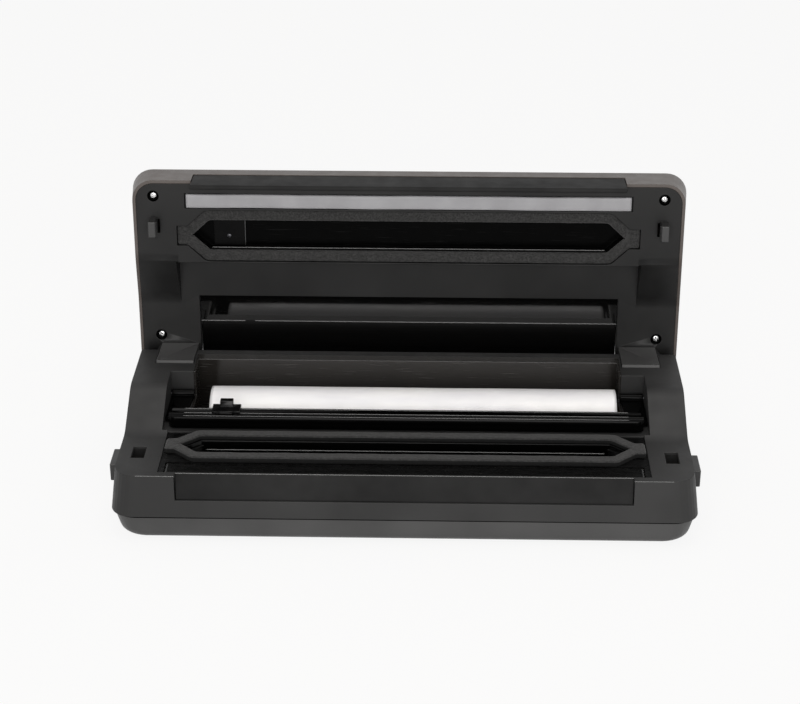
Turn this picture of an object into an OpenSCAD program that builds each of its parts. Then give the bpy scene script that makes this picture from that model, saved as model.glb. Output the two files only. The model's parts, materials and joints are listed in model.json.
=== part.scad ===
// Countertop vacuum sealer with a bag roll compartment and a sliding cutter, its lid raised.
// X runs to the right, Y to the back and Z up, in millimetres.
// The origin lies on the table, under the middle of the machine's overall box.
// Modules draw in distances from the lid's hinge axis: "front" is a distance towards the user,
// and lid pieces are drawn as they lie when the lid is shut.

/* [Base housing] */
// Width of the base across its deck
base_w = 378; // [374:1:384]
// How far each side stands out at the parting line
side_flare = 3.8; // [3:0.1:4.5]
// How far the front stands out at the parting line
front_flare = 1.6; // [0.5:0.1:3]
// Distance from the hinge axis to the front face of the base
base_front = 141.4; // [141:0.1:144]
// Distance from the hinge axis to the rear wall
base_rear = 14.2; // [13.6:0.1:14.4]
// Height of the front deck above the table
deck_front_h = 49.1; // [48.6:0.1:49.6]
// Height of the rear deck above the table
deck_rear_h = 67.9; // [67.4:0.1:68.4]
// Height of the parting line between tub and deck
part_line_h = 19; // [17:0.5:21]
// Plan radius of the front corners
front_corner_r = 15; // [12:0.5:18]
// Plan radius of the rear corners
rear_corner_r = 9; // [6:0.5:11]
// Wall thickness of the mouldings
wall = 2.2; // [1.8:0.1:2.4]
// Where the shoulder starts to fall from the rear deck
shoulder_top = 50.5; // [49:0.5:52]
// Where the shoulder meets the front deck
shoulder_foot = 85.5; // [84:0.5:87]
// Blend radius at both ends of the shoulder
shoulder_r = 20; // [14:1:24]

/* [Tub and feet] */
// How far the tub's bottom is drawn in from the parting line
tub_draw = 12; // [10:0.5:14]
// Height of the tub's bottom above the table
foot_h = 1.8; // [1.5:0.1:2.5]
// Length of a foot pad
foot_w = 24; // [18:1:28]
// Depth of a foot pad
foot_d = 13; // [10:0.5:15]

/* [Lid] */
// Angle by which the raised lid is turned back from shut
lid_open = 93.7; // [91:0.1:95]
// Height of the hinge axis above the table
hinge_h = 52.8; // [52.4:0.1:53.2]
// How far the lid's lower edge lies inside the deck's edge on each side
lid_side_gap = 0.2; // [0:0.1:1]
// How far each side of the lid stands out at its outer edge
lid_flare = 3.4; // [1:0.1:3.7]
// Distance from the hinge axis to the lid's front edge
lid_front = 143; // [142:0.1:144]
// Distance from the hinge axis to the lid's rear edge
lid_rear = 11; // [9:0.5:12]
// Height of the lid's outer face when shut
lid_top_h = 78; // [77:0.5:80]
// Gap between the shut lid and the decks
lid_gap = 0.5; // [0.4:0.1:0.8]
// Plan radius of the lid's front corners
lid_corner_r = 14.5; // [12:0.5:18]
// Radius of the lid's outer edge
lid_edge_r = 4; // [3:0.5:5]
// Width of the lid's side strips beside the hollow
lid_strip_w = 27.8; // [26:0.1:30]
// Distance from the hinge axis to the back of the lid's front block
lid_block_back = 83.5; // [82.5:0.5:84]

/* [Hinge] */
// Radius of the hinge pins
pin_r = 2.5; // [2:0.1:3]
// Running clearance between a pin and its bore
pin_fit = 0.05; // [0.03:0.01:0.08]
// Distance from the deck's side edge to the inner edge of a hinge arm
arm_edge = 39; // [38.6:0.1:39.2]
// Width of each hinge arm
arm_w = 26; // [22:0.5:27]
// Reach of a hinge arm from the hinge axis
arm_reach = 22.2; // [20:0.1:22.8]
// Front face of a hinge arm when the lid is shut
arm_face = 15.2; // [14:0.1:15.6]
// Clearance round the hinge arms
arm_gap = 0.5; // [0.4:0.1:0.7]

/* [Roll compartment] */
// Width of a pivot pocket, from the well's side wall to the roll compartment
pocket_w = 17.2; // [17:0.1:17.8]
// Radius of the compartment's floor
trough_r = 27; // [26:0.1:27.4]
// Height of the floor's centre
trough_h = 36.7; // [36:0.1:38]
// Distance from the hinge axis to the floor's centre
trough_front = 37.5; // [37:0.1:38]
// Wall thickness of the compartment
trough_t = 1.4; // [1.2:0.1:1.4]
// Rear edge of the compartment's rim
trough_rim = 3; // [2.5:0.1:4]

/* [Bag roll] */
// How much shorter the bag roll is than its compartment
roll_room = 13.6; // [12:0.2:40]
// Outer radius of the bag roll
roll_r = 24.2; // [20:0.1:25]
// How far the roll lies from the middle of the machine
roll_shift = 4.4; // [0:0.1:4.6]
// Outer radius of the cardboard core
core_r = 19; // [16:0.5:19.5]
// Wall thickness of the cardboard core
core_t = 1.8; // [1:0.1:3]
// Gap under the roll
roll_gap = 0.3; // [0.3:0.05:0.6]

/* [Well and cutter rail] */
// Width of the deck beside the well
side_land = 25; // [23:0.1:25.4]
// Back wall of the pivot pockets
pocket_back = 29.5; // [29:0.5:30]
// Height of the well floor under the rail
well_floor_h = 49.3; // [49:0.1:49.4]
// Rear edge of the cutter rail
rail_back = 65.5; // [65:0.1:67]
// Depth of the cutter rail
rail_d = 14.8; // [13.5:0.1:15.2]
// Gap between each end of the cutter rail and the well's side wall
rail_end_gap = 3.7; // [3.2:0.1:5]
// Height of the rail's lower face
rail_low = 50.1; // [49.8:0.1:50.3]
// Height of the rail's ridges
rail_top = 58.2; // [57:0.1:58.6]
// Distance from the hinge axis to the rail's pivot
rail_pivot = 33.6; // [33:0.1:35]
// Height of the rail's pivot
rail_pivot_h = 52.6; // [52.4:0.1:53.2]
// Radius of the rail's pivot pins
rail_pin_r = 1.2; // [1:0.1:1.4]
// Width of the blade slot in the rail
blade_slot = 1.8; // [1.4:0.1:2.2]
// Width of the slider
slider_w = 19; // [14:0.5:22]
// Distance from the rail's left end to the parked slider
slider_park = 38.9; // [36:0.1:50]

/* [Sealing bed] */
// How far each end of the black sealing bed lies inside the well's side wall
bed_edge = 3.8; // [3:0.1:4.2]
// Rear edge of the sealing bed
bed_back = 82.5; // [82.3:0.1:83.5]
// Front edge of the sealing bed
bed_front = 136; // [135.8:0.1:136.2]
// Height of the sealing bed
bed_h = 48.5; // [48.2:0.1:48.6]
// Thickness of the sealing bed
bed_t = 6; // [5.5:0.1:6.5]
// Distance from the bed's end to the heating bar
heater_edge = 4.2; // [3.2:0.1:10]
// Rear edge of the heating bar
heater_back = 122.5; // [122.3:0.1:125]
// Depth of the heating bar
heater_d = 12.5; // [9:0.1:12.8]
// Height of the heating bar
heater_h = 4.6; // [3:0.1:4.8]

/* [Vacuum chamber] */
// Distance from the hinge axis to the chamber's middle line
chamber_front = 103.1; // [102.8:0.1:103.4]
// Distance from the bed's end to the end of the chamber's straight stretch
chamber_edge = 23.2; // [21:0.1:30]
// Length of the chamber's pointed ends
chamber_point = 12; // [10:0.1:13]
// Half depth of the chamber
chamber_half_d = 10.9; // [10:0.1:11.2]
// Width of the foam ring
foam_w = 7.5; // [6:0.1:7.6]
// Distance from the bed's end to the foam ring's end tabs
foam_edge = 1; // [0.8:0.1:3]
// Half depth of an end tab
foam_tab = 6.9; // [5:0.1:8]
// Thickness of the foam ring
foam_t = 4.4; // [4:0.1:4.5]
// Depth of the tray's basin below the bed
basin_depth = 10; // [8:0.5:12]
// Depth of the chamber in the lid
lid_chamber_depth = 12.4; // [10:0.1:14]

/* [Latches] */
// Distance from the deck's side edge to the inner edge of a latch opening
latch_edge = 17.6; // [17.2:0.1:17.8]
// Width of the latch openings
latch_w = 8.8; // [8.4:0.1:9.2]
// Rear edge of the latch openings
latch_back = 103; // [102.6:0.1:103.4]
// Depth of the latch openings
latch_d = 14.8; // [14.4:0.1:15.2]
// Height of the lid hooks' tips when shut
hook_tip_h = 31; // [30:0.5:34]
// How far a release button stands out of the deck's edge
button_out = 5.6; // [5:0.1:7]
// Depth of a release button
button_d = 21; // [18:0.5:22]
// Height of a release button
button_h = 12.5; // [10:0.5:13]
// Travel of a release button
button_travel = 3; // [2:0.1:3.2]

/* [Lid front] */
// Distance from the deck's side edge to the grip lip and its recess
grip_edge = 41; // [40:0.5:60]
// Height of the grip lip's lower edge when shut
grip_low = 40; // [38:0.5:42]
// Height of the grip lip's upper edge when shut
grip_high = 63.6; // [58:0.2:65]
// Bottom of the finger recess in the base
recess_low = 31.4; // [29:0.1:33]
// Depth of the finger recess
recess_d = 4.3; // [4.2:0.1:4.4]
// How much shorter each end of the pressing strip is than the heating bar
strip_short = 3.8; // [3:0.1:8]
// Depth of the pressing strip
strip_d = 9.9; // [8:0.1:10.2]

/* [Lid window and controls] */
// Distance from the lid's side edge to the window opening
window_edge = 40.6; // [40.2:0.1:45]
// Rear edge of the window opening
window_back = 6; // [5:0.1:10]
// Front edge of the window opening
window_front = 51.8; // [48:0.1:54]
// Thickness of the window pane
pane_t = 2; // [1.5:0.1:2.1]
// Width of the control panel
panel_w = 150; // [120:1:170]
// Depth of the control panel
panel_d = 22; // [18:0.5:24]
// Number of keys on the control panel
key_count = 4; // [3:1:5]
// Width of a key
key_w = 18; // [12:0.5:20]
// Depth of a key
key_d = 8; // [6:0.5:9]
// Travel of a key
key_travel = 0.8; // [0.5:0.1:0.9]

/* [Hidden] */

$fn = 64;
hull_fn = 32;            // facets of round children inside hull()
far = 400;               // longer than the machine, for cuts that run through
eps = 0.01;              // overshoot of a cut at a face
seat_gap = 0.3;          // clearance between neighbours that are put in place loosely
pilot_fit = 0.05;        // radial clearance of a screw in its boss
black = "#2b2b2b";
graphite = "#3f3f40";
gloss = "#121213";
steel = "#c8c8c8";

lid_w = base_w - 2 * lid_side_gap;
lid_hollow_half_w = lid_w / 2 - lid_strip_w;
arm_in = base_w / 2 - arm_edge;
arm_out = arm_in + arm_w;
well_half_w = base_w / 2 - side_land;
trough_half_w = well_half_w - pocket_w;
roll_w = 2 * trough_half_w - roll_room;
rail_half_w = well_half_w - rail_end_gap;
slider_x = -rail_half_w + slider_park;
bed_half_w = well_half_w - bed_edge;
heater_half_w = bed_half_w - heater_edge;
strip_half_w = heater_half_w - strip_short;
chamber_half_w = bed_half_w - chamber_edge;
chamber_tip = chamber_half_w + chamber_point;
foam_tip = bed_half_w - foam_edge;
latch_in = base_w / 2 - latch_edge;
grip_half_w = base_w / 2 - grip_edge;
window_half_w = lid_w / 2 - window_edge;

shoulder_angle = atan2(deck_rear_h - deck_front_h, shoulder_foot - shoulder_top);
shoulder_tangent = shoulder_r * tan(shoulder_angle / 2);
knuckle_r = deck_rear_h - hinge_h;            // round rear edge of the deck, about the hinge axis
knuckle_angle = 180 - acos(base_rear / knuckle_r);
slot_r = arm_reach + arm_gap + 0.1;
slot_in = arm_in - arm_gap;
slot_out = arm_out + arm_gap;
liner_t = 1.8;                                // walls round the well and the hinge slots

lid_front_h = deck_front_h + lid_gap;         // the lid's inner face over the front deck
lid_rear_h = deck_rear_h + lid_gap;           // and over the rear deck
lid_back_reach = -((lid_front - lid_edge_r) * cos(lid_open)
                   - (lid_top_h - hinge_h - lid_edge_r) * sin(lid_open) - lid_edge_r);
hinge_y = (base_front + front_flare - lid_back_reach) / 2;

bed_low = bed_h - bed_t;
foam_half_d = chamber_half_d + foam_w;
foam_shoulder = chamber_half_w + 2.5;
foam_neck = foam_tip - 7.2;
foam_low = bed_h - 2;                         // floor of the foam's groove in the bed
foam_face_h = foam_low + foam_t;              // top of the base's foam
lid_foam_h = foam_face_h + seat_gap;          // face of the lid's foam when shut
tape_t = 0.3;
heater_top = bed_h - 0.6;
heater_front = heater_back + heater_d;
strip_face_h = heater_top + tape_t + 0.4;     // face of the pressing strip when shut
strip_mid = heater_back + heater_d / 2 - 0.3;
tray_floor_h = bed_h - basin_depth;

recess_face = base_front - recess_d;
latch_out = latch_in + latch_w;
latch_front = latch_back + latch_d;
latch_mid = latch_back + latch_d / 2;
slide_h = 36;                                 // underside of the latch slides
slide_t = 3;
slide_in = latch_in - 7.4;
slide_reach = base_w / 2 - 1.8;
button_x = base_w / 2 + button_out;
button_low = 31.5;
button_back = latch_mid - button_d / 2 - 3;
guide_t = 4;
switch_post_r = 4;
spring_r = 3;
spring_wall = slide_in - 11;                   // stop of the latch springs
switch_h = 22;                                // underside of the lid switches

frame_t = wall;
lid_inside = lid_top_h - wall;                // ceiling inside the lid
hook_x = latch_in + 1.4;
hook_w = 4;
hook_back = latch_back + 2.2;
hook_d = 10;
screw_front = [lid_w / 2 - 14.2, lid_front - 11.3];
screw_rear = [lid_w / 2 - 12.4, 21.5];
head_r = 2.4;
sink_r = 3.9;
roll_h = trough_h - trough_r + roll_r + roll_gap;
pane_low = lid_top_h - 0.5 - pane_t;
panel_front = 135;
panel_t = 1.2;
key_low = lid_top_h - 3;
board_top = key_low - key_travel - 0.8;
rail_front = rail_back + rail_d;
ridge_w = 1.3;
rail_arm_t = 2;                               // thickness of the rail's arms
rail_arm_gap = 0.6;                           // between an arm and the well's side wall
slot_mid = rail_back + 5.2;                   // the blade slot runs between the first two ridges
tray_screw_x = chamber_half_w + 3.6;
valve_x = -chamber_half_w + 12.6;
nipple_x = chamber_half_w - 18;               // where the hose meets the tray
motor_x = nipple_x - 74;
motor_len = 46;
motor_r = 12;
motor_front = 96;
motor_h = 18.5;
floor_top = foot_h + wall;                    // inside of the tub's bottom

// ---- helpers -------------------------------------------------------------------------------

function arc(cx, cy, r, a0, a1, n = 8) =
    [for (i = [0:n]) let(a = a0 + (a1 - a0) * i / n) [cx + r * cos(a), cy + r * sin(a)]];

// Shoulder curve from the rear deck down to the front deck, as [front, height] points.
function shoulder(lift) = concat(
    arc(shoulder_top - shoulder_tangent, deck_rear_h - shoulder_r + lift, shoulder_r,
        90, 90 - shoulder_angle),
    arc(shoulder_foot + shoulder_tangent, deck_front_h + shoulder_r + lift, shoulder_r,
        270 - shoulder_angle, 270));

// Puts what is drawn about the hinge line at its place in the machine.
module in_place() translate([0, hinge_y, 0]) children();

// Lifts what is drawn for the shut lid to the raised lid.
module raised() translate([0, hinge_y, hinge_h]) rotate([-lid_open, 0, 0])
    translate([0, 0, -hinge_h]) children();

module both_sides() {
    children();
    mirror([1, 0, 0]) children();
}

// Extrudes a [front, height] profile across the machine, from x0 to x1.
module across(x0, x1) translate([x1, 0, 0]) rotate([90, 0, -90]) linear_extrude(x1 - x0) children();

// Extrudes a [x, front] outline upwards, from z0 to z1.
module upright(z0, z1) translate([0, 0, z0]) mirror([0, 1, 0]) linear_extrude(z1 - z0) children();

// A block given by its corners as [x, front, height].
module block(a, b) translate([a[0], -b[1], a[2]]) cube([b[0] - a[0], b[1] - a[1], b[2] - a[2]]);

// A cylinder along X about [front, height].
module bar(x0, x1, front, h, r) translate([x0, -front, h]) rotate([0, 90, 0]) cylinder(r = r, h = x1 - x0);

// An upright cylinder.
module post(x, front, z0, z1, r) translate([x, -front, z0]) cylinder(r = r, h = z1 - z0);

// A four-cornered plan with its own radii at the front and the rear.
module plan(half_w, rear, front, r_front, r_rear) polygon(concat(
    arc(half_w - r_front, front - r_front, r_front, 0, 90),
    arc(-half_w + r_front, front - r_front, r_front, 90, 180),
    arc(-half_w + r_rear, rear + r_rear, r_rear, 180, 270),
    arc(half_w - r_rear, rear + r_rear, r_rear, 270, 360)));

// A rectangle with rounded corners, centred on x.
module pad(half_w, back, front, r) plan(half_w, back, front, r, r);

// ---- base ----------------------------------------------------------------------------------

// The base above the parting line, drawn in by inset on every side but the bottom.
module base_form(inset, z0) intersection() {
    across(-far, far) polygon(concat(
        [[-base_rear + inset, z0]],
        arc(0, hinge_h, knuckle_r - inset, knuckle_angle, 90),
        [for (p = shoulder(-inset)) p],
        [[far, deck_front_h - inset], [far, z0]]));
    union() {
        hull() {
            upright(z0, z0 + eps) plan(base_w / 2 + side_flare - inset, -base_rear + inset,
                base_front + front_flare - inset, front_corner_r, rear_corner_r);
            upright(deck_front_h - eps, deck_front_h) plan(base_w / 2 - inset, -base_rear + inset,
                base_front - inset, front_corner_r, rear_corner_r);
        }
        upright(deck_front_h - eps, deck_rear_h + eps) plan(base_w / 2 - inset,
            -base_rear + inset, base_front - inset, front_corner_r, rear_corner_r);
    }
}

// The tub below the parting line, drawn in by inset.
module tub_form(inset, z0) hull() {
    upright(part_line_h - eps, part_line_h) plan(base_w / 2 + side_flare - 1.4 - inset,
        -base_rear + inset, base_front + front_flare - 1.4 - inset, front_corner_r, rear_corner_r);
    upright(part_line_h * 0.42, part_line_h * 0.42 + eps) plan(base_w / 2 - 1.6 - inset,
        -base_rear + inset + 0.6, base_front - 1.6 - inset, front_corner_r, rear_corner_r);
    upright(z0, z0 + eps) plan(base_w / 2 + side_flare - tub_draw - inset,
        -base_rear + inset + 4, base_front + front_flare - tub_draw + 2 - inset,
        front_corner_r - 3, rear_corner_r - 3);
}

// Places of the screws that hold the tub to the deck, as [x, front].
boss_front = 128;
boss_rear = -5;
boss_spots = [for (x = [base_w / 2 - 21, -base_w / 2 + 21, 0]) [x, boss_front],
              for (x = [base_w / 2 - 49, -base_w / 2 + 49, 0]) [x, boss_rear]];
boss_r = 3.8;
screw_r = 1.5;

module base_tub() color(graphite) in_place() difference() {
    union() {
        difference() {
            tub_form(0, foot_h);
            tub_form(wall, floor_top);
        }
        intersection() {
            tub_form(0, foot_h);
            for (p = boss_spots) post(p[0], p[1], foot_h, floor_top + 3, boss_r + 1.2);
        }
        both_sides() post(latch_in + latch_w / 2, latch_mid, foot_h, switch_h, switch_post_r);
    }
    for (p = boss_spots) {
        post(p[0], p[1], 0, far, screw_r + 0.3);
        post(p[0], p[1], 0, floor_top + 0.8, head_r + 0.5);
    }
    inlet_cut();
}

module feet() color(black) in_place() for (sx = [-1, 1], f = [-1, 119])
    translate([sx * (base_w / 2 - 23), 0, 0]) upright(0, foot_h) translate([0, f]) pad(foot_w / 2, 0, foot_d, 3);

module base_screws() color(steel) in_place() for (p = boss_spots) difference() {
    union() {
        post(p[0], p[1], floor_top + 0.8 - 1.6, floor_top + 0.8, head_r);
        post(p[0], p[1], floor_top, floor_top + 13, screw_r - pilot_fit);
    }
    post(p[0], p[1], 0, floor_top - 0.1, 0.9, $fn = 6);
}

// Walls that line the well, the bed's pocket, the recess and the hinge slots.
module well_walls() {
    block([-well_half_w - liner_t, pocket_back - liner_t, well_floor_h - liner_t],
          [well_half_w + liner_t, bed_back + liner_t, deck_rear_h]);
    block([-bed_half_w - liner_t, bed_back - liner_t, bed_low - liner_t],
          [bed_half_w + liner_t, bed_front + 1, deck_front_h]);
    block([-grip_half_w - 1 - wall, recess_face - wall, recess_low - wall],
          [grip_half_w + 1 + wall, base_front + front_flare, deck_front_h]);
    both_sides() {
        bar(slot_in - 1.1, slot_out + liner_t, 0, hinge_h, slot_r + liner_t);
        bar(slot_out, slot_out + 5, 0, hinge_h, pin_r + 2.5);
        bar(well_half_w, well_half_w + 4, rail_pivot, rail_pivot_h, rail_pin_r + 2);
    }
}

// Guides under the deck that carry a latch slide, and the stop of its spring.
module latch_guides() {
    for (edge = [latch_back - 3.8, latch_front + 3.8])
        block([slide_in - 2, edge - guide_t / 2 - 0.2, slide_h - 3],
              [slide_reach - button_travel - 0.5, edge + guide_t / 2 + 0.2, deck_front_h - wall + 0.5]);
    block([spring_wall - 2, latch_mid - 6, slide_h - 4], [spring_wall, latch_mid + 6, bed_low]);
}

module base_deck() color(graphite) in_place() difference() {
    union() {
        difference() {
            base_form(0, part_line_h);
            base_form(wall, part_line_h - 1);
        }
        intersection() {
            base_form(0, part_line_h);
            union() {
                well_walls();
                both_sides() latch_guides();
            }
        }
        for (p = boss_spots) post(p[0], p[1], floor_top + 3, p[1] > 0 ? deck_front_h - wall : 30, boss_r);
        for (p = boss_spots) if (p[1] < 0)
            block([p[0] - 1, -base_rear + 1, part_line_h + 0.3], [p[0] + 1, p[1], 30]);
    }
    // roll compartment, rail and bed
    block([-trough_half_w - trough_t - 0.1, trough_rim - 0.1, -eps],
          [trough_half_w + trough_t + 0.1, trough_front + trough_r + trough_t + 0.4, far]);
    block([-well_half_w, pocket_back, well_floor_h], [well_half_w, bed_back + eps, far]);
    block([-bed_half_w, bed_back, bed_low], [bed_half_w, bed_front, far]);
    block([-chamber_half_w - 1, chamber_front - chamber_half_d, bed_low - far],
          [chamber_half_w + 1, chamber_front + chamber_half_d, bed_low + eps]);
    both_sides() post(tray_screw_x, chamber_front, bed_low - far, far, 0.8 + pilot_fit);
    // finger recess in the front
    block([-grip_half_w - 1, recess_face, recess_low], [grip_half_w + 1, far, far]);
    both_sides() {
        bar(slot_in, slot_out, 0, hinge_h, slot_r);
        bar(slot_in - 1.2, slot_out + 4, 0, hinge_h, pin_r + pin_fit);
        bar(well_half_w - 1, well_half_w + 3, rail_pivot, rail_pivot_h, rail_pin_r + pin_fit);
        block([latch_in, latch_back, slide_h - far], [latch_out, latch_front, far]);
        // channel of the latch slide, and the button's slot through the side wall
        block([slide_in - button_travel - 0.6, latch_back - 4, slide_h - seat_gap],
              [slide_reach + 0.5, latch_front + 4, slide_h + slide_t + seat_gap]);
        block([slide_reach - button_travel - seat_gap, button_back - seat_gap, button_low - seat_gap],
              [far, button_back + button_d + seat_gap, button_low + button_h + seat_gap]);
    }
    for (p = boss_spots) post(p[0], p[1], 0, floor_top + 18, screw_r);
    inlet_cut();
}

// Half-round trough in which the roll lies loose, with straight sides above its middle.
module trough_section(r, h_extra) {
    translate([trough_front, trough_h]) circle(r);
    translate([trough_front - r, trough_h]) square([2 * r, h_extra]);
}

module roll_trough() color(gloss) in_place() difference() {
    union() {
        intersection() {
            across(-trough_half_w - trough_t, trough_half_w + trough_t)
                trough_section(trough_r + trough_t, far);
            union() {
                block([-far, -far, 0], [far, trough_front, deck_rear_h]);
                block([-far, 0, 0], [far, far, well_floor_h]);
            }
        }
        block([-trough_half_w - trough_t, trough_rim, deck_rear_h - trough_t - 0.6],
              [trough_half_w + trough_t, trough_front - trough_r, deck_rear_h]);
    }
    across(-trough_half_w, trough_half_w) trough_section(trough_r, far);
    // end walls step down to the pivot pockets
    both_sides() block([trough_half_w - eps, pocket_back, well_floor_h],
                       [trough_half_w + trough_t + eps, far, far]);
}

// Outline of a foam ring, let out by grow, and of the chamber inside it, drawn in by inset.
module foam_outline(grow = 0) {
    r = 8 + grow;
    tab = foam_tab + grow;
    tip = foam_tip + grow;
    x = foam_shoulder - 3;
    y = foam_half_d - 8;
    polygon(concat(
        arc(x, y, r, 90, 52, 5), [[foam_neck, tab], [tip, tab], [tip, -tab], [foam_neck, -tab]],
        arc(x, -y, r, -52, -90, 5), arc(-x, -y, r, 270, 232, 5),
        [[-foam_neck, -tab], [-tip, -tab], [-tip, tab], [-foam_neck, tab]], arc(-x, y, r, 128, 90, 5)));
}

module chamber_outline(inset) polygon([
    [chamber_half_w - inset / 2, chamber_half_d - inset], [chamber_tip - inset * 1.4, 0],
    [chamber_half_w - inset / 2, -chamber_half_d + inset],
    [-chamber_half_w + inset / 2, -chamber_half_d + inset], [-chamber_tip + inset * 1.4, 0],
    [-chamber_half_w + inset / 2, chamber_half_d - inset]]);

module at_chamber(z0, z1) upright(z0, z1) translate([0, chamber_front]) children();

module seal_bed() color(black) in_place() difference() {
    block([-bed_half_w + 0.2, bed_back + 0.1, bed_low], [bed_half_w - 0.2, bed_front - 0.1, bed_h]);
    at_chamber(foam_low, far) foam_outline();
    at_chamber(0, far) chamber_outline(0);
    block([-heater_half_w - 0.5, heater_back - 0.4, heater_top - heater_h],
          [heater_half_w + 0.5, heater_front + 0.4, far]);
}

module heating_bar() color("#55504a") in_place() difference() {
    block([-heater_half_w, heater_back, heater_top - heater_h],
          [heater_half_w, heater_front, heater_top]);
    block([-heater_half_w + 4, strip_mid - 1.6, heater_top - 0.25],
          [heater_half_w - 4, strip_mid + 1.6, far]);
}

module heating_wire() color("#b9a58a") in_place()
    block([-heater_half_w + 4.2, strip_mid - 1.4, heater_top - 0.25],
          [heater_half_w - 4.2, strip_mid + 1.4, heater_top]);

module ptfe_tape() color("#1d1c1b") in_place()
    block([-heater_half_w, heater_back, heater_top], [heater_half_w, heater_front, heater_top + tape_t]);

module base_gasket() color("#38383a") in_place() difference() {
    at_chamber(foam_low, foam_face_h) foam_outline();
    at_chamber(0, far) chamber_outline(0);
}

module vacuum_tray() color(gloss) in_place() difference() {
    union() {
        at_chamber(bed_low, bed_h + 0.8) chamber_outline(0.4);
        block([-chamber_half_w + 0.4, chamber_front - chamber_half_d + 0.4, tray_floor_h - 1.6],
              [chamber_half_w - 0.4, chamber_front + chamber_half_d - 0.4, bed_low]);
        post(nipple_x, chamber_front, tray_floor_h - 7, tray_floor_h, 2.6);
    }
    block([-chamber_half_w + 2, chamber_front - chamber_half_d + 2, tray_floor_h],
          [chamber_half_w - 2, chamber_front + chamber_half_d - 2, far]);
    at_chamber(bed_h - 3, far) chamber_outline(2);
    both_sides() post(tray_screw_x, chamber_front, 0, far, 0.8 + pilot_fit);
    post(nipple_x, chamber_front, 0, far, 1.4);
}

module tray_screws() color(steel) in_place() both_sides() difference() {
    union() {
        post(tray_screw_x, chamber_front, bed_h - 3, bed_h - 1.9, 1.6);
        post(tray_screw_x, chamber_front, bed_low - 1.6, bed_h - 2.8, 0.8);
    }
    post(tray_screw_x, chamber_front, bed_h - 2.5, far, 0.5, $fn = 6);
}

// ---- power inlet ---------------------------------------------------------------------------

inlet_x = base_w / 2 - 71;
inlet_h = 27;
inlet_w = 20;
inlet_tall = 11;
inlet_d = 15;
inlet_pin_gap = 8.6;

module figure_eight(r, grow) for (s = [-1, 1])
    translate([s * inlet_pin_gap / 2, 0]) circle(r + grow);

module inlet_cut() translate([inlet_x, base_rear + 2, inlet_h]) rotate([90, 0, 0])
    linear_extrude(wall + 4) square([inlet_w - 3, inlet_tall - 1], center = true);

module power_inlet() color(black) in_place() translate([inlet_x, base_rear, inlet_h])
    rotate([90, 0, 0]) difference() {
        union() {
            linear_extrude(wall + 0.1) square([inlet_w - 3.2, inlet_tall - 1.2], center = true);
            translate([0, 0, wall]) linear_extrude(inlet_d - wall)
                square([inlet_w, inlet_tall], center = true);
        }
        translate([0, 0, -eps]) linear_extrude(inlet_d - 3) {
            figure_eight(4, 0);
            square([inlet_pin_gap, 5], center = true);
        }
        translate([0, 0, 1]) linear_extrude(far) figure_eight(1.2, 0);
    }

module inlet_pins() color(steel) in_place() translate([inlet_x, base_rear - 2, inlet_h])
    rotate([90, 0, 0]) linear_extrude(inlet_d) figure_eight(1.2, 0);

// ---- pump and electrics --------------------------------------------------------------------

module pump_motor() color("#9aa0a5") in_place() difference() {
    union() {
        bar(motor_x, motor_x + motor_len, motor_front, motor_h, motor_r);
        bar(motor_x - 2, motor_x, motor_front, motor_h, 5);
        block([motor_x + 4, motor_front - 8, floor_top], [motor_x + 12, motor_front + 8, motor_h]);
        block([motor_x + motor_len - 12, motor_front - 8, floor_top],
              [motor_x + motor_len - 4, motor_front + 8, motor_h]);
    }
    bar(motor_x - 5, motor_x + motor_len + 1, motor_front, motor_h, 1.5 + pin_fit);
}

module pump_head() color("#4a4d50") in_place() difference() {
    union() {
        block([motor_x + motor_len, motor_front - 13, floor_top],
              [motor_x + motor_len + 22, motor_front + 13, 32]);
        post(motor_x + motor_len + 11, motor_front, 31, 34, 2.4);
    }
    bar(motor_x + motor_len - 1, motor_x + motor_len + 18, motor_front, motor_h, 9);
    post(motor_x + motor_len + 11, motor_front, motor_h, far, 1.2);
}

module pump_crank() color(steel) in_place() {
    bar(motor_x + 6, motor_x + motor_len + 4, motor_front, motor_h, 1.5);
    bar(motor_x + motor_len + 3, motor_x + motor_len + 8, motor_front, motor_h, 6);
    bar(motor_x + motor_len + 8, motor_x + motor_len + 15, motor_front + 3, motor_h, 2);
}

// The hose rises from the pump head, bends over and runs to the tray's nipple.
module vacuum_hose() color("#b8b8b0") in_place() {
    x0 = motor_x + motor_len + 11;
    x1 = nipple_x;
    translate([0, -motor_front, 0]) difference() {
        hull() for (x = [x0, x1]) translate([x, 0, 34]) cylinder(r = 2.2, h = 1, $fn = hull_fn);
        translate([x0, 0, 33]) cylinder(r = 1.2, h = 3);
    }
}

module transformer() color("#6b5a3a") in_place() {
    block([-96, 84, floor_top + 3.6], [-64, 110, floor_top + 27]);
    block([-101, 89, floor_top + 8], [-96, 105, floor_top + 23]);
    block([-64, 89, floor_top + 8], [-59, 105, floor_top + 23]);
}

module power_board() color("#2f6b3c") in_place() {
    block([-132, 78, floor_top + 2], [-30, 118, floor_top + 3.6]);
    for (x = [-128, -34], f = [82, 114]) post(x, f, floor_top, floor_top + 2, 2.5);
    post(-118, 98, floor_top + 3.6, floor_top + 18, 6);
    block([-52, 84, floor_top + 3.6], [-38, 100, floor_top + 14]);
}

module release_valve() color("#d9d9d4") in_place() {
    block([-14, 86, floor_top], [8, 104, floor_top + 16]);
    bar(-26, -14, 95, floor_top + 9, 6);
}

module lid_switches() color(black) in_place() both_sides()
    block([latch_in - 1, latch_mid - 5, switch_h], [latch_out + 1, latch_mid + 5, switch_h + 5]);

// ---- hinge ---------------------------------------------------------------------------------

module hinge_pins() color(steel) in_place() both_sides()
    bar(slot_in - 1, slot_out + 3.8, 0, hinge_h, pin_r);

// ---- cutter --------------------------------------------------------------------------------

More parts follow.
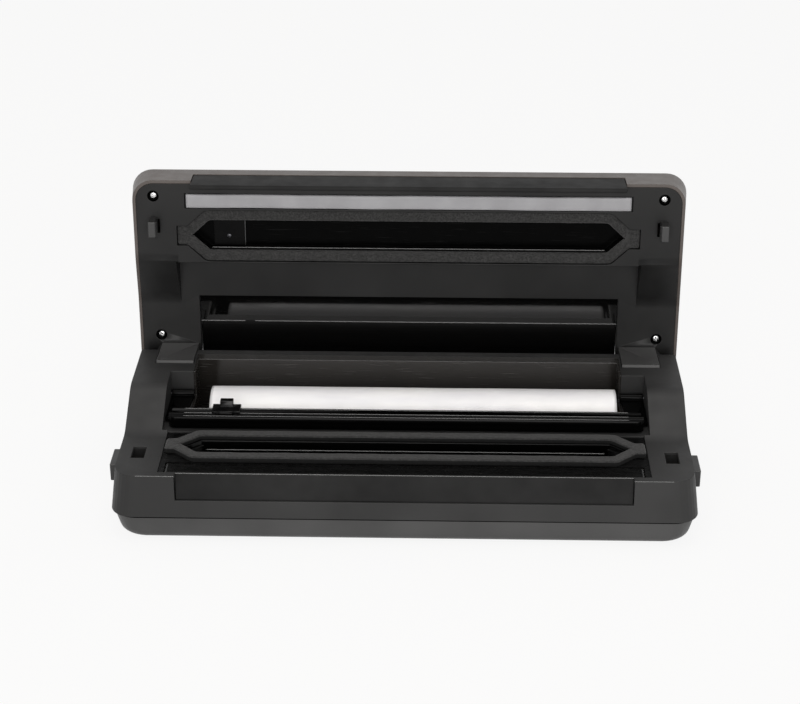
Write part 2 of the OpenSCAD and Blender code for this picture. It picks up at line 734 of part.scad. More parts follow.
module rail_profile() polygon([
    [rail_back, rail_low], [rail_back, rail_top - 0.6], [rail_back + 0.5, rail_top],
    [rail_back + ridge_w, rail_top], [rail_back + ridge_w + 0.6, rail_top - 1.4],
    [rail_back + 6.4, rail_top - 1.4], [rail_back + 6.8, rail_top - 0.2],
    [rail_back + 6.8 + ridge_w, rail_top - 0.2], [rail_back + 8.8, rail_top - 1.6],
    [rail_front - ridge_w - 1.2, rail_top - 1.6], [rail_front - ridge_w - 0.8, rail_top],
    [rail_front - 0.9, rail_top], [rail_front, rail_top - 1.2], [rail_front, rail_low]]);

module cutter_rail() color(gloss) in_place() difference() {
    union() {
        intersection() {
            across(-rail_half_w, rail_half_w) rail_profile();
            upright(0, far) pad(rail_half_w, rail_back, rail_front, 5);
        }
        both_sides() difference() {
            union() {
                translate([0, 0, rail_low]) mirror([0, 1, 0]) linear_extrude(rail_arm_t) polygon([
                    [trough_half_w + 1, rail_pivot], [well_half_w - rail_arm_gap, rail_pivot],
                    [well_half_w - rail_arm_gap, rail_back + 4], [trough_half_w + 5, rail_back + 4]]);
                bar(trough_half_w + 1, well_half_w - rail_arm_gap, rail_pivot, rail_pivot_h,
                    rail_pivot_h - rail_low);
            }
            bar(0, far, rail_pivot, rail_pivot_h, rail_pin_r);
        }
    }
    block([-rail_half_w + 10, slot_mid - blade_slot / 2, 0],
          [rail_half_w - 10, slot_mid + blade_slot / 2, far]);
}

module cutter_pivots() color(steel) in_place() both_sides()
    bar(well_half_w - 9, well_half_w + 2.6, rail_pivot, rail_pivot_h, rail_pin_r);

module cutter_slider() color("#1a1a1b") in_place() translate([slider_x, 0, 0]) difference() {
    union() {
        block([-slider_w / 2, slot_mid - 6.4, rail_top + 0.3], [slider_w / 2, slot_mid + 4.4, rail_top + 2.3]);
        block([-4.4, slot_mid - 6.4, rail_top + 2.3], [4.4, slot_mid - 2, rail_top + 7.5]);
        block([-4.4, slot_mid + 4.4, rail_top + 0.3], [4.4, slot_mid + 7.4, rail_top + 2]);
        block([-slider_w / 2 + 2, slot_mid - 1.7, rail_top - 1.1], [slider_w / 2 - 2, slot_mid + 0.5, rail_top + 0.4]);
    }
    block([-3, slot_mid - 0.3, 0], [3, slot_mid + 0.3, rail_top + 1.6]);
}

module cutter_blade() color(steel) in_place() translate([slider_x, -slot_mid + 0.3, 0])
    rotate([90, 0, 0]) linear_extrude(0.6) polygon([
        [-3, rail_top + 1.6], [3, rail_top + 1.6], [3, rail_low + 1.5], [0, rail_low - 0.4],
        [-3, rail_low + 1.5]]);

// ---- bag roll ------------------------------------------------------------------------------

module tube(x0, x1, r_out, r_in) difference() {
    bar(x0, x1, trough_front, roll_h, r_out);
    bar(x0 - 1, x1 + 1, trough_front, roll_h, r_in);
}

module bag_roll() color("#f4f4f4") in_place()
    tube(roll_shift - roll_w / 2, roll_shift + roll_w / 2, roll_r, core_r);

module roll_core() color("#b09068") in_place()
    tube(roll_shift - roll_w / 2 + 0.5, roll_shift + roll_w / 2 - 0.5, core_r, core_r - core_t);

// ---- latches -------------------------------------------------------------------------------

// A push button on the right side: it stands out of a slot in the side wall and its foot
// meets the latch slide inside.
module release_button() difference() {
    block([slide_reach, button_back, button_low], [button_x, button_back + button_d, button_low + button_h]);
    translate([button_x + 1.4, -button_back - button_d / 2, button_low + button_h])
        rotate([0, 35, 0]) cube([6, button_d + 1, 8], center = true);
}

// A sliding plate with a window that takes the lid's hook.
module latch_slide() difference() {
    block([slide_in, latch_back - 3.6, slide_h], [slide_reach, latch_front + 3.6, slide_h + slide_t]);
    block([latch_in - 0.8, latch_back - 0.3, 0], [latch_out + 1.6, latch_front + 0.3, far]);
}

// A coil spring between its stop and the latch slide: rings of points swept along a helix.
spring_turns = 4;
spring_steps = 10;                            // rings in a turn
spring_sides = 6;
spring_wire_r = 0.5;

module latch_spring() {
    x0 = spring_wall + spring_wire_r + 0.1;
    run = slide_in - spring_wire_r - 0.1 - x0;
    rings = spring_turns * spring_steps;
    points = [for (i = [0:rings]) let(turn = 360 * i / spring_steps) for (j = [0:spring_sides - 1])
        let(a = 360 * j / spring_sides, r = spring_r - spring_wire_r + spring_wire_r * cos(a))
        [x0 + run * i / rings + spring_wire_r * sin(a), r * cos(turn), r * sin(turn)]];
    side = [for (i = [0:rings - 1], j = [0:spring_sides - 1]) let(k = (j + 1) % spring_sides)
        [i * spring_sides + j, i * spring_sides + k, (i + 1) * spring_sides + k, (i + 1) * spring_sides + j]];
    caps = [[for (j = [spring_sides - 1:-1:0]) j], [for (j = [0:spring_sides - 1]) rings * spring_sides + j]];
    translate([0, -latch_mid, slide_h + slide_t / 2]) polyhedron(points, concat(side, caps));
}

module release_button_right() color(black) in_place() release_button();
module release_button_left() color(black) in_place() mirror([1, 0, 0]) release_button();
module latch_slide_right() color("#d8d4c8") in_place() latch_slide();
module latch_slide_left() color("#d8d4c8") in_place() mirror([1, 0, 0]) latch_slide();
module latch_spring_right() color(steel) in_place() latch_spring();
module latch_spring_left() color(steel) in_place() mirror([1, 0, 0]) latch_spring();

// ---- lid -----------------------------------------------------------------------------------

// The lid's outer form with its edge rounded, drawn in by inset.
module lid_form(inset) {
    r_edge = lid_edge_r - inset / 2;
    top = lid_top_h - inset;
    hull() for (sx = [-1, 1], end = [0, 1]) {
        r = (end == 1 ? lid_corner_r : rear_corner_r) - inset;
        front = end == 1 ? lid_front - inset - r : -lid_rear + inset + r;
        side = lid_w / 2 - inset - r;
        translate([sx * side, -front, lid_front_h - 1]) cylinder(r = r, h = eps, $fn = hull_fn);
        translate([sx * (side + lid_flare), -front, 0]) rotate_extrude($fn = hull_fn) intersection() {
            translate([r - r_edge, top - r_edge]) circle(r_edge, $fn = hull_fn);
            translate([0, top - r_edge]) square([r, r_edge]);
        }
    }
}

// What lies under the lid's lower edge, from the shoulder curve; lift moves it up.
module under_lid(lift) across(-far, far) polygon(concat(
    [[-far, 0], [-far, lid_rear_h + lift]],
    [for (p = shoulder(lid_gap + lift)) p],
    [[far, lid_front_h + lift], [far, 0]]));

module at_spots() both_sides() for (p = [screw_front, screw_rear]) translate([p[0], -p[1], 0]) children();

// Height where the lid's frame ends and the shell's boss begins, at a screw.
function boss_seat(front_one) = (front_one ? lid_front_h : lid_rear_h) + 4.6;

module lid_bosses(r) both_sides() {
    translate([screw_front[0], -screw_front[1], boss_seat(true)])
        cylinder(r = r, h = lid_inside - boss_seat(true) + 0.5);
    translate([screw_rear[0], -screw_rear[1], boss_seat(false)])
        cylinder(r = r, h = lid_inside - boss_seat(false) + 0.5);
}

module panel_cut(grow) upright(lid_top_h - panel_t, far)
    translate([0, panel_front - panel_d]) pad(panel_w / 2 + grow, -grow, panel_d + grow, 4);

module lid_shell() color(graphite) raised() difference() {
    union() {
        difference() {
            lid_form(0);
            difference() {
                lid_form(wall);
                upright(lid_top_h - panel_t - 2, far)
                    translate([0, panel_front - panel_d - 2]) pad(panel_w / 2 + 2, 0, panel_d + 4, 4);
            }
        }
        lid_bosses(3.5);
        for (x = [-1, 1], s = [0, 1]) post(x * (panel_w / 2 - 5), panel_front - 3 - s * (panel_d - 6),
            board_top, lid_inside, 2);
    }
    under_lid(0);
    // window, grip lip, control panel with its keys, and screw holes
    block([-window_half_w - 2.2, window_back - 2.2, 0], [window_half_w + 2.2, window_front + 2.2, far]);
    block([-grip_half_w - seat_gap, base_front - 6, 0], [grip_half_w + seat_gap, far, grip_high + seat_gap]);
    panel_cut(0.1);
    block([-panel_w / 2 + 12, panel_front - panel_d / 2 - key_d / 2 - 1, 60],
          [panel_w / 2 - 12, panel_front - panel_d / 2 + key_d / 2 + 1, far]);
    upright(board_top, far) for (i = [0:key_count - 1]) light_spot(i, 0.1);
    lid_screw_holes();
}

module lid_screw_holes() both_sides() {
    post(screw_front[0], screw_front[1], 0, boss_seat(true) + 10, screw_r);
    post(screw_rear[0], screw_rear[1], 0, boss_seat(false) + 2.4, screw_r);
}

// The lid's inner moulding: front block, hollow, sloping shoulders, window frame and hinge arms.
module lid_frame() color(black) raised() difference() {
    union() {
        intersection() {
            lid_form(wall + 0.15);
            difference() {
                union() {
                    frame_skin();
                    frame_pockets();
                }
                both_sides() intersection() {
                    under_lid(0);
                    block([bed_half_w - 1, -far, 0], [far, far, far]);
                }
            }
        }
        both_sides() hinge_arm();
    }
    // openings
    block([-window_half_w, window_back, 0], [window_half_w, window_front, far]);
    block([-grip_half_w - seat_gap, base_front - 3.4, 0], [grip_half_w + seat_gap, far, grip_high + seat_gap]);
    at_chamber(0, lid_foam_h + 2.2) foam_outline(0.25);
    at_chamber(0, lid_front_h + lid_chamber_depth) chamber_outline(0);
    block([-strip_half_w - 1, strip_mid - strip_d / 2 - 0.4, 0],
          [strip_half_w + 1, strip_mid + strip_d / 2 + 0.4, strip_face_h + 3.5]);
    both_sides() {
        bar(arm_in - 1, arm_out + 1, 0, hinge_h, pin_r + pin_fit);
        block([hook_x, hook_back, 0], [hook_x + hook_w, hook_back + hook_d, lid_front_h + 1.4]);
        block([hook_x - 2, hook_back, 0], [hook_x - 0.4, hook_back + hook_d, far]);
        post(screw_front[0], screw_front[1], 0, lid_front_h + 2.6, sink_r);
        post(screw_rear[0], screw_rear[1], 0, lid_rear_h + 2.6, sink_r);
        post(screw_front[0], screw_front[1], 0, far, screw_r + 0.3);
        post(screw_rear[0], screw_rear[1], 0, far, screw_r + 0.3);
    }
}

module frame_skin() {
    // side strips follow the shoulders
    difference() {
        block([-far, -lid_rear, 0], [far, lid_front, far]);
        under_lid(0);
        difference() {
            block([-far, -far, 0], [far, far, far]);
            under_lid(frame_t);
        }
        block([-lid_hollow_half_w, -far, 0], [lid_hollow_half_w, lid_block_back, far]);
    }
    // the hollow's ceiling, its front step and its side walls
    block([-lid_hollow_half_w, -lid_rear, lid_rear_h],
          [lid_hollow_half_w, lid_block_back + frame_t, lid_rear_h + frame_t]);
    block([-lid_hollow_half_w - frame_t, lid_block_back, lid_front_h],
          [lid_hollow_half_w + frame_t, lid_block_back + frame_t, lid_rear_h + frame_t]);
    both_sides() difference() {
        block([lid_hollow_half_w, shoulder_top - 8, 0],
              [lid_hollow_half_w + frame_t, lid_block_back + frame_t, lid_rear_h + frame_t]);
        under_lid(0);
    }
}

module frame_pockets() {
    // window frame up to the pane
    block([-window_half_w - 1.6, window_back - 1.6, lid_rear_h],
          [window_half_w + 1.6, window_front + 1.6, pane_low]);
    at_chamber(lid_front_h, lid_foam_h + 4) translate([0, -0.4])
        square([2 * foam_tip + 3, 2 * foam_half_d - 0.2], center = true);
    at_chamber(lid_front_h, lid_front_h + lid_chamber_depth + 1.8)
        square([2 * chamber_tip + 3, 2 * chamber_half_d + 3.6], center = true);
    block([-strip_half_w - 2.8, strip_mid - strip_d / 2 - 2, lid_front_h],
          [strip_half_w + 2.8, strip_mid + strip_d / 2 + 2, strip_face_h + 5.3]);
    both_sides() {
        post(screw_front[0], screw_front[1], lid_front_h, boss_seat(true), sink_r + 1.6);
        post(screw_rear[0], screw_rear[1], lid_rear_h, boss_seat(false), sink_r + 1.6);
        block([hook_x - 1.6, hook_back - 1.6, lid_front_h],
              [hook_x + hook_w + 1.6, hook_back + hook_d + 1.6, lid_front_h + 4]);
    }
}

module hinge_arm() across(arm_in, arm_out) intersection() {
    union() {
        translate([0, hinge_h]) circle(arm_reach);
        translate([-lid_rear + 3, hinge_h]) square([arm_face + lid_rear - 3, lid_rear_h + frame_t - hinge_h]);
    }
    translate([-lid_rear + 3, 0]) square([arm_face + lid_rear - 3, lid_rear_h + frame_t]);
}

module lid_grip() color("#3a3a3a") raised() difference() {
    block([-grip_half_w, base_front - 3.4, grip_low], [grip_half_w, lid_front - 0.4, grip_high]);
    both_sides() translate([grip_half_w, -base_front, grip_low]) rotate([0, 45, 0])
        cube([3, 20, 3], center = true);
}

module lid_window() color([0.1, 0.1, 0.11, 0.6]) raised()
    block([-window_half_w - 2, window_back - 2, pane_low], [window_half_w + 2, window_front + 2, pane_low + pane_t]);

module pressing_strip() color("#9a9a9c") raised()
    block([-strip_half_w, strip_mid - strip_d / 2, strip_face_h],
          [strip_half_w, strip_mid + strip_d / 2, strip_face_h + 3.5]);

module lid_gasket() color("#38383a") raised() difference() {
    at_chamber(lid_foam_h, lid_foam_h + 2.2) foam_outline();
    at_chamber(0, far) chamber_outline(0);
}

module latch_hooks() color(black) raised() both_sides() {
    block([hook_x + 0.05, hook_back + 0.05, hook_tip_h], [hook_x + hook_w - 0.05, hook_back + hook_d - 0.05, lid_front_h + 1.4]);
    translate([0, -hook_back - 0.05, 0]) rotate([90, 0, 0]) linear_extrude(hook_d - 0.1) polygon([
        [hook_x + 0.1, hook_tip_h], [hook_x - 1, hook_tip_h + 3], [hook_x - 1, hook_tip_h + 3.6],
        [hook_x + 0.1, hook_tip_h + 3.6]]);
}

module lid_screws() color(steel) raised() both_sides() {
    screw(screw_front, lid_front_h + 2.6);
    screw(screw_rear, lid_rear_h + 2.6);
}

module screw(spot, seat_h) difference() {
    union() {
        post(spot[0], spot[1], seat_h - 1.5, seat_h, head_r);
        post(spot[0], spot[1], seat_h - eps, seat_h + 4.2, screw_r - pilot_fit);
    }
    post(spot[0], spot[1], 0, seat_h - 0.8, 1, $fn = 6);
}

module valve_cover() color("#161617") raised() difference() {
    block([valve_x - 10.6, chamber_front - chamber_half_d + 0.5, lid_front_h + lid_chamber_depth - 1.6],
          [valve_x + 11.4, chamber_front + chamber_half_d - 5, lid_front_h + lid_chamber_depth]);
    post(valve_x, chamber_front - 3.3, 0, far, 0.8 + pilot_fit);
}

module valve_screw() color(steel) raised() {
    post(valve_x, chamber_front - 3.3, lid_front_h + lid_chamber_depth - 2.6,
         lid_front_h + lid_chamber_depth - 1.6, 1.6);
    post(valve_x, chamber_front - 3.3, lid_front_h + lid_chamber_depth - 1.7,
         lid_front_h + lid_chamber_depth, 0.8);
}

// ---- controls on the lid's outer face ------------------------------------------------------

key_pitch = (panel_w - 30) / key_count;
function key_place(i) = (i - (key_count - 1) / 2) * key_pitch;

module key_outline(i, grow) translate([key_place(i), panel_front - panel_d / 2])
    pad(key_w / 2 + grow, -key_d / 2 - grow, key_d / 2 + grow, 2);

module control_panel() color(gloss) raised() difference() {
    upright(lid_top_h - panel_t, lid_top_h)
        translate([0, panel_front - panel_d]) pad(panel_w / 2, 0, panel_d, 4);
    upright(0, far) for (i = [0:key_count - 1]) key_outline(i, seat_gap);
    upright(0, far) for (i = [0:key_count - 1]) light_spot(i, 0);
}

module light_spot(i, grow) translate([key_place(i), panel_front - 3.4]) circle(1 + grow);

module indicator_lights() color("#e8e8e8") raised() upright(board_top, lid_top_h)
    for (i = [0:key_count - 1]) light_spot(i, 0);

module control_board() color("#2f6b3c") raised() {
    upright(board_top - 1.6, board_top)
        translate([0, panel_front - panel_d]) pad(panel_w / 2 - 1, 0.5, panel_d - 0.5, 1);
    for (i = [0:key_count - 1]) block([key_place(i) - 3, panel_front - panel_d / 2 - 3, board_top],
        [key_place(i) + 3, panel_front - panel_d / 2 + 3, board_top + 0.5]);
}

module key(i) raised() if (i < key_count) upright(key_low, lid_top_h + 0.8) key_outline(i, 0);

module key_vacuum_seal() color("#4a4a4c") key(0);
module key_seal() color("#4a4a4c") key(1);
module key_pulse() color("#4a4a4c") key(2);
module key_stop() color("#4a4a4c") key(3);

// ---- assembly ------------------------------------------------------------------------------

base_tub();
base_deck();
feet();
base_screws();
roll_trough();
seal_bed();
heating_bar();
heating_wire();
ptfe_tape();
base_gasket();
vacuum_tray();
tray_screws();
power_inlet();
inlet_pins();
pump_motor();
pump_head();
pump_crank();
vacuum_hose();
transformer();
power_board();
release_valve();
lid_switches();
hinge_pins();
cutter_rail();
cutter_pivots();
cutter_slider();
cutter_blade();
bag_roll();
roll_core();
release_button_left();
release_button_right();
latch_slide_left();
latch_slide_right();
latch_spring_left();
latch_spring_right();
lid_shell();
lid_frame();
lid_grip();
lid_window();
pressing_strip();
lid_gasket();
latch_hooks();
lid_screws();
valve_cover();
valve_screw();
control_panel();
control_board();
key_vacuum_seal();
key_seal();
key_pulse();
key_stop();
indicator_lights();
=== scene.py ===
"""Looks of a countertop vacuum sealer with a raised lid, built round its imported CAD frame.

Every length in the classes is in millimetres and is turned to metres when a mesh is made.
Pieces of the lid are drawn for the shut lid and put up by raise_lid.
"""

import json
import logging
import math
from dataclasses import dataclass
from enum import Enum
from functools import cache
from typing import Any, Callable, Sequence

import bmesh
import bpy
import numpy as np
from mathutils import Matrix, Vector


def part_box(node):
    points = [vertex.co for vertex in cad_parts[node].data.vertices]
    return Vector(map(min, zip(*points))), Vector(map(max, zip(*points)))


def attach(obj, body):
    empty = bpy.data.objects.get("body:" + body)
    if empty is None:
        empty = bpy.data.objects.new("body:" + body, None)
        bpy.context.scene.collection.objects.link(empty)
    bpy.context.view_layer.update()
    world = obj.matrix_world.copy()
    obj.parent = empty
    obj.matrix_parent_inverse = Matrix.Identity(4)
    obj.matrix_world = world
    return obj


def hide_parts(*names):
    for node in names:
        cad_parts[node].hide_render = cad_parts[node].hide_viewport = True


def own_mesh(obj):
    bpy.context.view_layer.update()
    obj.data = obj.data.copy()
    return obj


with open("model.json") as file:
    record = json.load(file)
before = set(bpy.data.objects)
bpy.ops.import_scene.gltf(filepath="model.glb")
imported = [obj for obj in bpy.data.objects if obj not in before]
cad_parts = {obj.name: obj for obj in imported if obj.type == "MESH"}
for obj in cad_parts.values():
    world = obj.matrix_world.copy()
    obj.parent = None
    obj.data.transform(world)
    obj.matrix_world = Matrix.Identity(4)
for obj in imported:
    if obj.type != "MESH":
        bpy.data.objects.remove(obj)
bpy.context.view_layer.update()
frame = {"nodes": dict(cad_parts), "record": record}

logging.basicConfig(level=logging.INFO, format="%(message)s")
log = logging.getLogger("sealer")

Pair = tuple[float, float]
Triple = tuple[float, float, float]
Piece = bpy.types.Object
Tree = bpy.types.NodeTree
Node = bpy.types.Node
Socket = bpy.types.NodeSocket
Inputs = dict[str | int, Any]

MM = 0.001
HINGE_Y = 54.437  # hinge axis, distance behind the origin
HINGE_H = 52.8  # hinge axis, height
LID_OPEN = math.radians(93.7)  # how far the lid is raised
EDGE_ANGLE = 32.0  # least angle in degrees of an edge that shows as an edge
BEVEL_RAYS = 6  # rays with which the shader looks for an edge


# ---- colours and nodes -----------------------------------------------------------------------


def linear(hex_colour: str, gain: float = 1.0, lift: float = 0.0) -> tuple[float, ...]:
    """Turns an sRGB hex colour to linear light, times a gain and plus a lift.

    Args:
        hex_colour: Six hex digits after a hash.
        gain: Factor on each channel.
        lift: Added to each channel.

    Returns:
        Red, green, blue and an alpha of 1.
    """
    parts = [int(hex_colour[i : i + 2], 16) / 255 for i in (1, 3, 5)]
    light = [c / 12.92 if c <= 0.04045 else ((c + 0.055) / 1.055) ** 2.4 for c in parts]
    return tuple(min(1.0, c * gain + lift) for c in light) + (1.0,)


def add_node(tree: Tree, kind: str, sockets: Inputs | None = None,
             **settings: Any) -> Node:
    """Adds a node, gives it its settings and sets or links its input sockets.

    Args:
        tree: The material's node tree.
        kind: Blender's name of the node type.
        sockets: For each input a value, an output, or a node whose first output feeds it.
        **settings: Attributes of the node itself.

    Returns:
        The new node.
    """
    node = tree.nodes.new(kind)
    for key, value in settings.items():
        setattr(node, key, value)
    for key, value in (sockets or {}).items():
        if isinstance(value, Node):
            value = value.outputs[0]
        if isinstance(value, Socket):
            tree.links.new(value, node.inputs[key])
        else:
            node.inputs[key].default_value = value
    return node


def per_metre(pitch_mm: float) -> float:
    """Gives a texture's scale on coordinates in metres for a feature size in millimetres."""
    return 1000.0 / pitch_mm


def wander(tree: Tree, where: Any, size_mm: float, detail: float, window: Pair,
           span: Pair = (0.0, 1.0), roughness: float = 0.5) -> Node:
    """Adds a value that wanders between two ends over patches of a real size.

    It is a noise, read between the window's values and stretched to the span.

    Args:
        tree: The material's node tree.
        where: Coordinates in metres.
        size_mm: Size of a patch.
        detail: Octaves of finer noise.
        window: The noise values that give the two ends.
        span: The ends.
        roughness: Weight of the finer octaves.

    Returns:
        The node that gives the value.
    """
    patches = add_node(tree, "ShaderNodeTexNoise", {
        "Vector": where, "Scale": per_metre(size_mm), "Detail": detail, "Roughness": roughness})
    return add_node(tree, "ShaderNodeMapRange", {
        "Value": patches, "From Min": window[0], "From Max": window[1], "To Min": span[0],
        "To Max": span[1]})


def clouded(tree: Tree, factor: Node, first: Any, second: Any,
            over: Sequence[tuple[Node, Any]] = ()) -> Socket:
    """Adds a colour that wanders from one tone to another, with further layers over it.

    Args:
        tree: The material's node tree.
        factor: Where the second tone shows.
        first: The first tone.
        second: The second tone.
        over: For each further layer, where it shows and its tone.

    Returns:
        The colour.
    """
    colour = first
    for share, tone in ((factor, second), *over):
        colour = add_node(tree, "ShaderNodeMix", {0: share, 6: colour, 7: tone},
                          data_type="RGBA").outputs[2]
    return colour


# ---- finishes --------------------------------------------------------------------------------


@dataclass(frozen=True)
class Finish:
    """A named finish, which feeds a Principled shader with its pattern."""

    name: str
    colour: str

    def surface(self, tree: Tree, where: Socket) -> Inputs:
        """Gives each input of the shader that isn't left at its default.

        Args:
            tree: The material's node tree.
            where: Object coordinates, in metres.

        Returns:
            What feeds each input of the shader that isn't left at its default.
        """
        raise NotImplementedError

    def material(self) -> bpy.types.Material:
        """Makes the material, on object coordinates."""
        material = bpy.data.materials.new(self.name)
        material.use_nodes = True
        tree = material.node_tree
        tree.nodes.clear()
        where = add_node(tree, "ShaderNodeTexCoord").outputs["Object"]
        shader = add_node(tree, "ShaderNodeBsdfPrincipled", self.surface(tree, where))
        add_node(tree, "ShaderNodeOutputMaterial", {"Surface": shader})
        return material


@cache
def material_of(finish: Finish) -> bpy.types.Material:
    """Gives a finish's material, made once."""
    return finish.material()


@dataclass(frozen=True)
class MouldedPlastic(Finish):
    """Injection-moulded ABS from a spark-eroded mould.

    The mould's fine grain breaks the highlight into a soft satin, and the sheen varies a little
    where the melt cooled unevenly. Real grain is 0.1 mm, drawn at grain_mm so that it shows.
    """

    roughness: float = 0.5
    specular: float = 0.5
    grain_mm: float = 0.7
    grain_depth_mm: float = 0.012
    mottle: float = 0.06
    edge_mm: float = 0.6

    def surface(self, tree: Tree, where: Socket) -> Inputs:
        """Gives the satin skin, with the shading of its broken edges.

        Args:
            tree: The material's node tree.
            where: Object coordinates, in metres.

        Returns:
            What feeds each input of the shader that isn't left at its default.
        """
        flow = wander(tree, where, 55, 2, (0.35, 0.65))
        sheen = wander(tree, where, 9, 4, (0.3, 0.7),
                       (self.roughness - self.mottle, self.roughness + self.mottle))
        grain = add_node(tree, "ShaderNodeTexNoise", {
            "Vector": where, "Scale": per_metre(self.grain_mm), "Detail": 2.0})
        edge = add_node(tree, "ShaderNodeBevel", {"Radius": self.edge_mm * MM}, samples=BEVEL_RAYS)
        bump = add_node(tree, "ShaderNodeBump", {
            "Height": grain, "Strength": 0.5, "Distance": self.grain_depth_mm * MM,
            "Normal": edge})
        tone = clouded(tree, flow, linear(self.colour), linear(self.colour, 1.35, 0.004))
        return {"Base Color": tone, "Roughness": sheen, "Normal": bump,
                "Specular IOR Level": self.specular, "IOR": 1.5}


@dataclass(frozen=True)
class PolishedPlastic(Finish):
    """Plastic from a polished mould: a mirror-like surface with hairline scuffs."""

    roughness: float = 0.12
    specular: float = 0.5
    scuff: float = 0.1
    ior: float = 1.5
    wave_mm: float = 0.01
    edge_mm: float = 0.5

    def surface(self, tree: Tree, where: Socket) -> Inputs:
        """Gives the gloss, with scuffs drawn out along the piece and a slow wave.

        Args:
            tree: The material's node tree.
            where: Object coordinates, in metres.

        Returns:
            What feeds each input of the shader that isn't left at its default.
        """
        turned = add_node(tree, "ShaderNodeMapping", {
            "Vector": where, "Rotation": (0.2, 0.5, 0.7), "Scale": (0.06, 1.0, 1.0)})
        scuffs = wander(tree, turned, 1.1, 3, (0.62, 0.75), (0.0, self.scuff))
        haze = wander(tree, where, 14, 3, (0.4, 0.7), (self.roughness, self.roughness * 1.3))
        rough = add_node(tree, "ShaderNodeMath", {0: haze, 1: scuffs}, operation="ADD")
        wave = add_node(tree, "ShaderNodeTexNoise", {
            "Vector": where, "Scale": per_metre(40), "Detail": 1.0})
        edge = add_node(tree, "ShaderNodeBevel", {"Radius": self.edge_mm * MM}, samples=BEVEL_RAYS)
        bump = add_node(tree, "ShaderNodeBump", {
            "Height": wave, "Strength": 0.25, "Distance": self.wave_mm * MM, "Normal": edge})
        tone = clouded(tree, scuffs, linear(self.colour), linear(self.colour, 1.6, 0.01))
        return {"Base Color": tone, "Roughness": rough, "Normal": bump,
                "Specular IOR Level": self.specular, "IOR": self.ior}


@dataclass(frozen=True)
class CellRubber(Finish):
    """Closed-cell foam rubber, split to thickness, so that its cut cells pit the skin.

    Real cells are about 0.3 mm, drawn at cell_mm so that they show. The bloom is the pale haze
    of the cell walls. A near-black copy with little bloom paints the shade on the base ring's
    sides.
    """

    cell_mm: float = 0.75
    bloom: float = 0.006
    sheen: float = 0.12

    def surface(self, tree: Tree, where: Socket) -> Inputs:
        """Gives the pits and the crumbs between them.

        Args:
            tree: The material's node tree.
            where: Object coordinates, in metres.

        Returns:
            What feeds each input of the shader that isn't left at its default.
        """
        cells = add_node(tree, "ShaderNodeTexVoronoi", {
            "Vector": where, "Scale": per_metre(self.cell_mm)})
        pit = add_node(tree, "ShaderNodeMapRange", {
            "Value": cells, "From Min": 0.1, "From Max": 0.6, "To Min": 0.0, "To Max": 1.0})
        crumb = add_node(tree, "ShaderNodeTexNoise", {
            "Vector": where, "Scale": per_metre(1.6), "Detail": 4.0, "Roughness": 0.65})
        tone = clouded(tree, wander(tree, where, 1.6, 4, (0.36, 0.68), roughness=0.65),
                       linear(self.colour), linear(self.colour, 2.0, self.bloom))
        height = add_node(tree, "ShaderNodeMath", {0: pit, 1: crumb}, operation="ADD")
        bump = add_node(tree, "ShaderNodeBump", {
            "Height": height, "Strength": 0.8, "Distance": 0.18 * MM})
        # The pits are painted at about a third of the tone: painted shade in the cut cells, over
        # the bump that gives them depth.
        return {"Base Color": clouded(tree, pit, linear(self.colour, 0.35), tone), "Normal": bump,
                "Roughness": 0.9, "Specular IOR Level": 0.25, "Sheen Weight": self.sheen,
                "Sheen Roughness": 0.6}


@dataclass(frozen=True)
class SoftRubber(Finish):
    """Moulded or extruded rubber and silicone: even, slightly waxy, with faint draw marks."""

    roughness: float = 0.55
    glow: float = 0.0
    cloud_mm: float = 18.0

    def surface(self, tree: Tree, where: Socket) -> Inputs:
        """Gives the waxy skin, with draw marks along the piece.

        Args:
            tree: The material's node tree.
            where: Object coordinates, in metres.

        Returns:
            What feeds each input of the shader that isn't left at its default.
        """
        drawn = add_node(tree, "ShaderNodeMapping", {"Vector": where, "Scale": (0.12, 1.0, 1.0)})
        lines = add_node(tree, "ShaderNodeTexNoise", {
            "Vector": drawn, "Scale": per_metre(1.2), "Detail": 2.0})
        tone = clouded(tree, wander(tree, where, self.cloud_mm, 3, (0.35, 0.65)),
                       linear(self.colour, 0.86), linear(self.colour))
        rough = wander(tree, drawn, 1.2, 2, (0.3, 0.7),
                       (self.roughness - 0.06, self.roughness + 0.08))
        bump = add_node(tree, "ShaderNodeBump", {
            "Height": lines, "Strength": 0.4, "Distance": 0.03 * MM})
        return {"Base Color": tone, "Roughness": rough, "Normal": bump, "IOR": 1.43,
                "Subsurface Weight": self.glow, "Subsurface Radius": (0.002, 0.002, 0.002)}


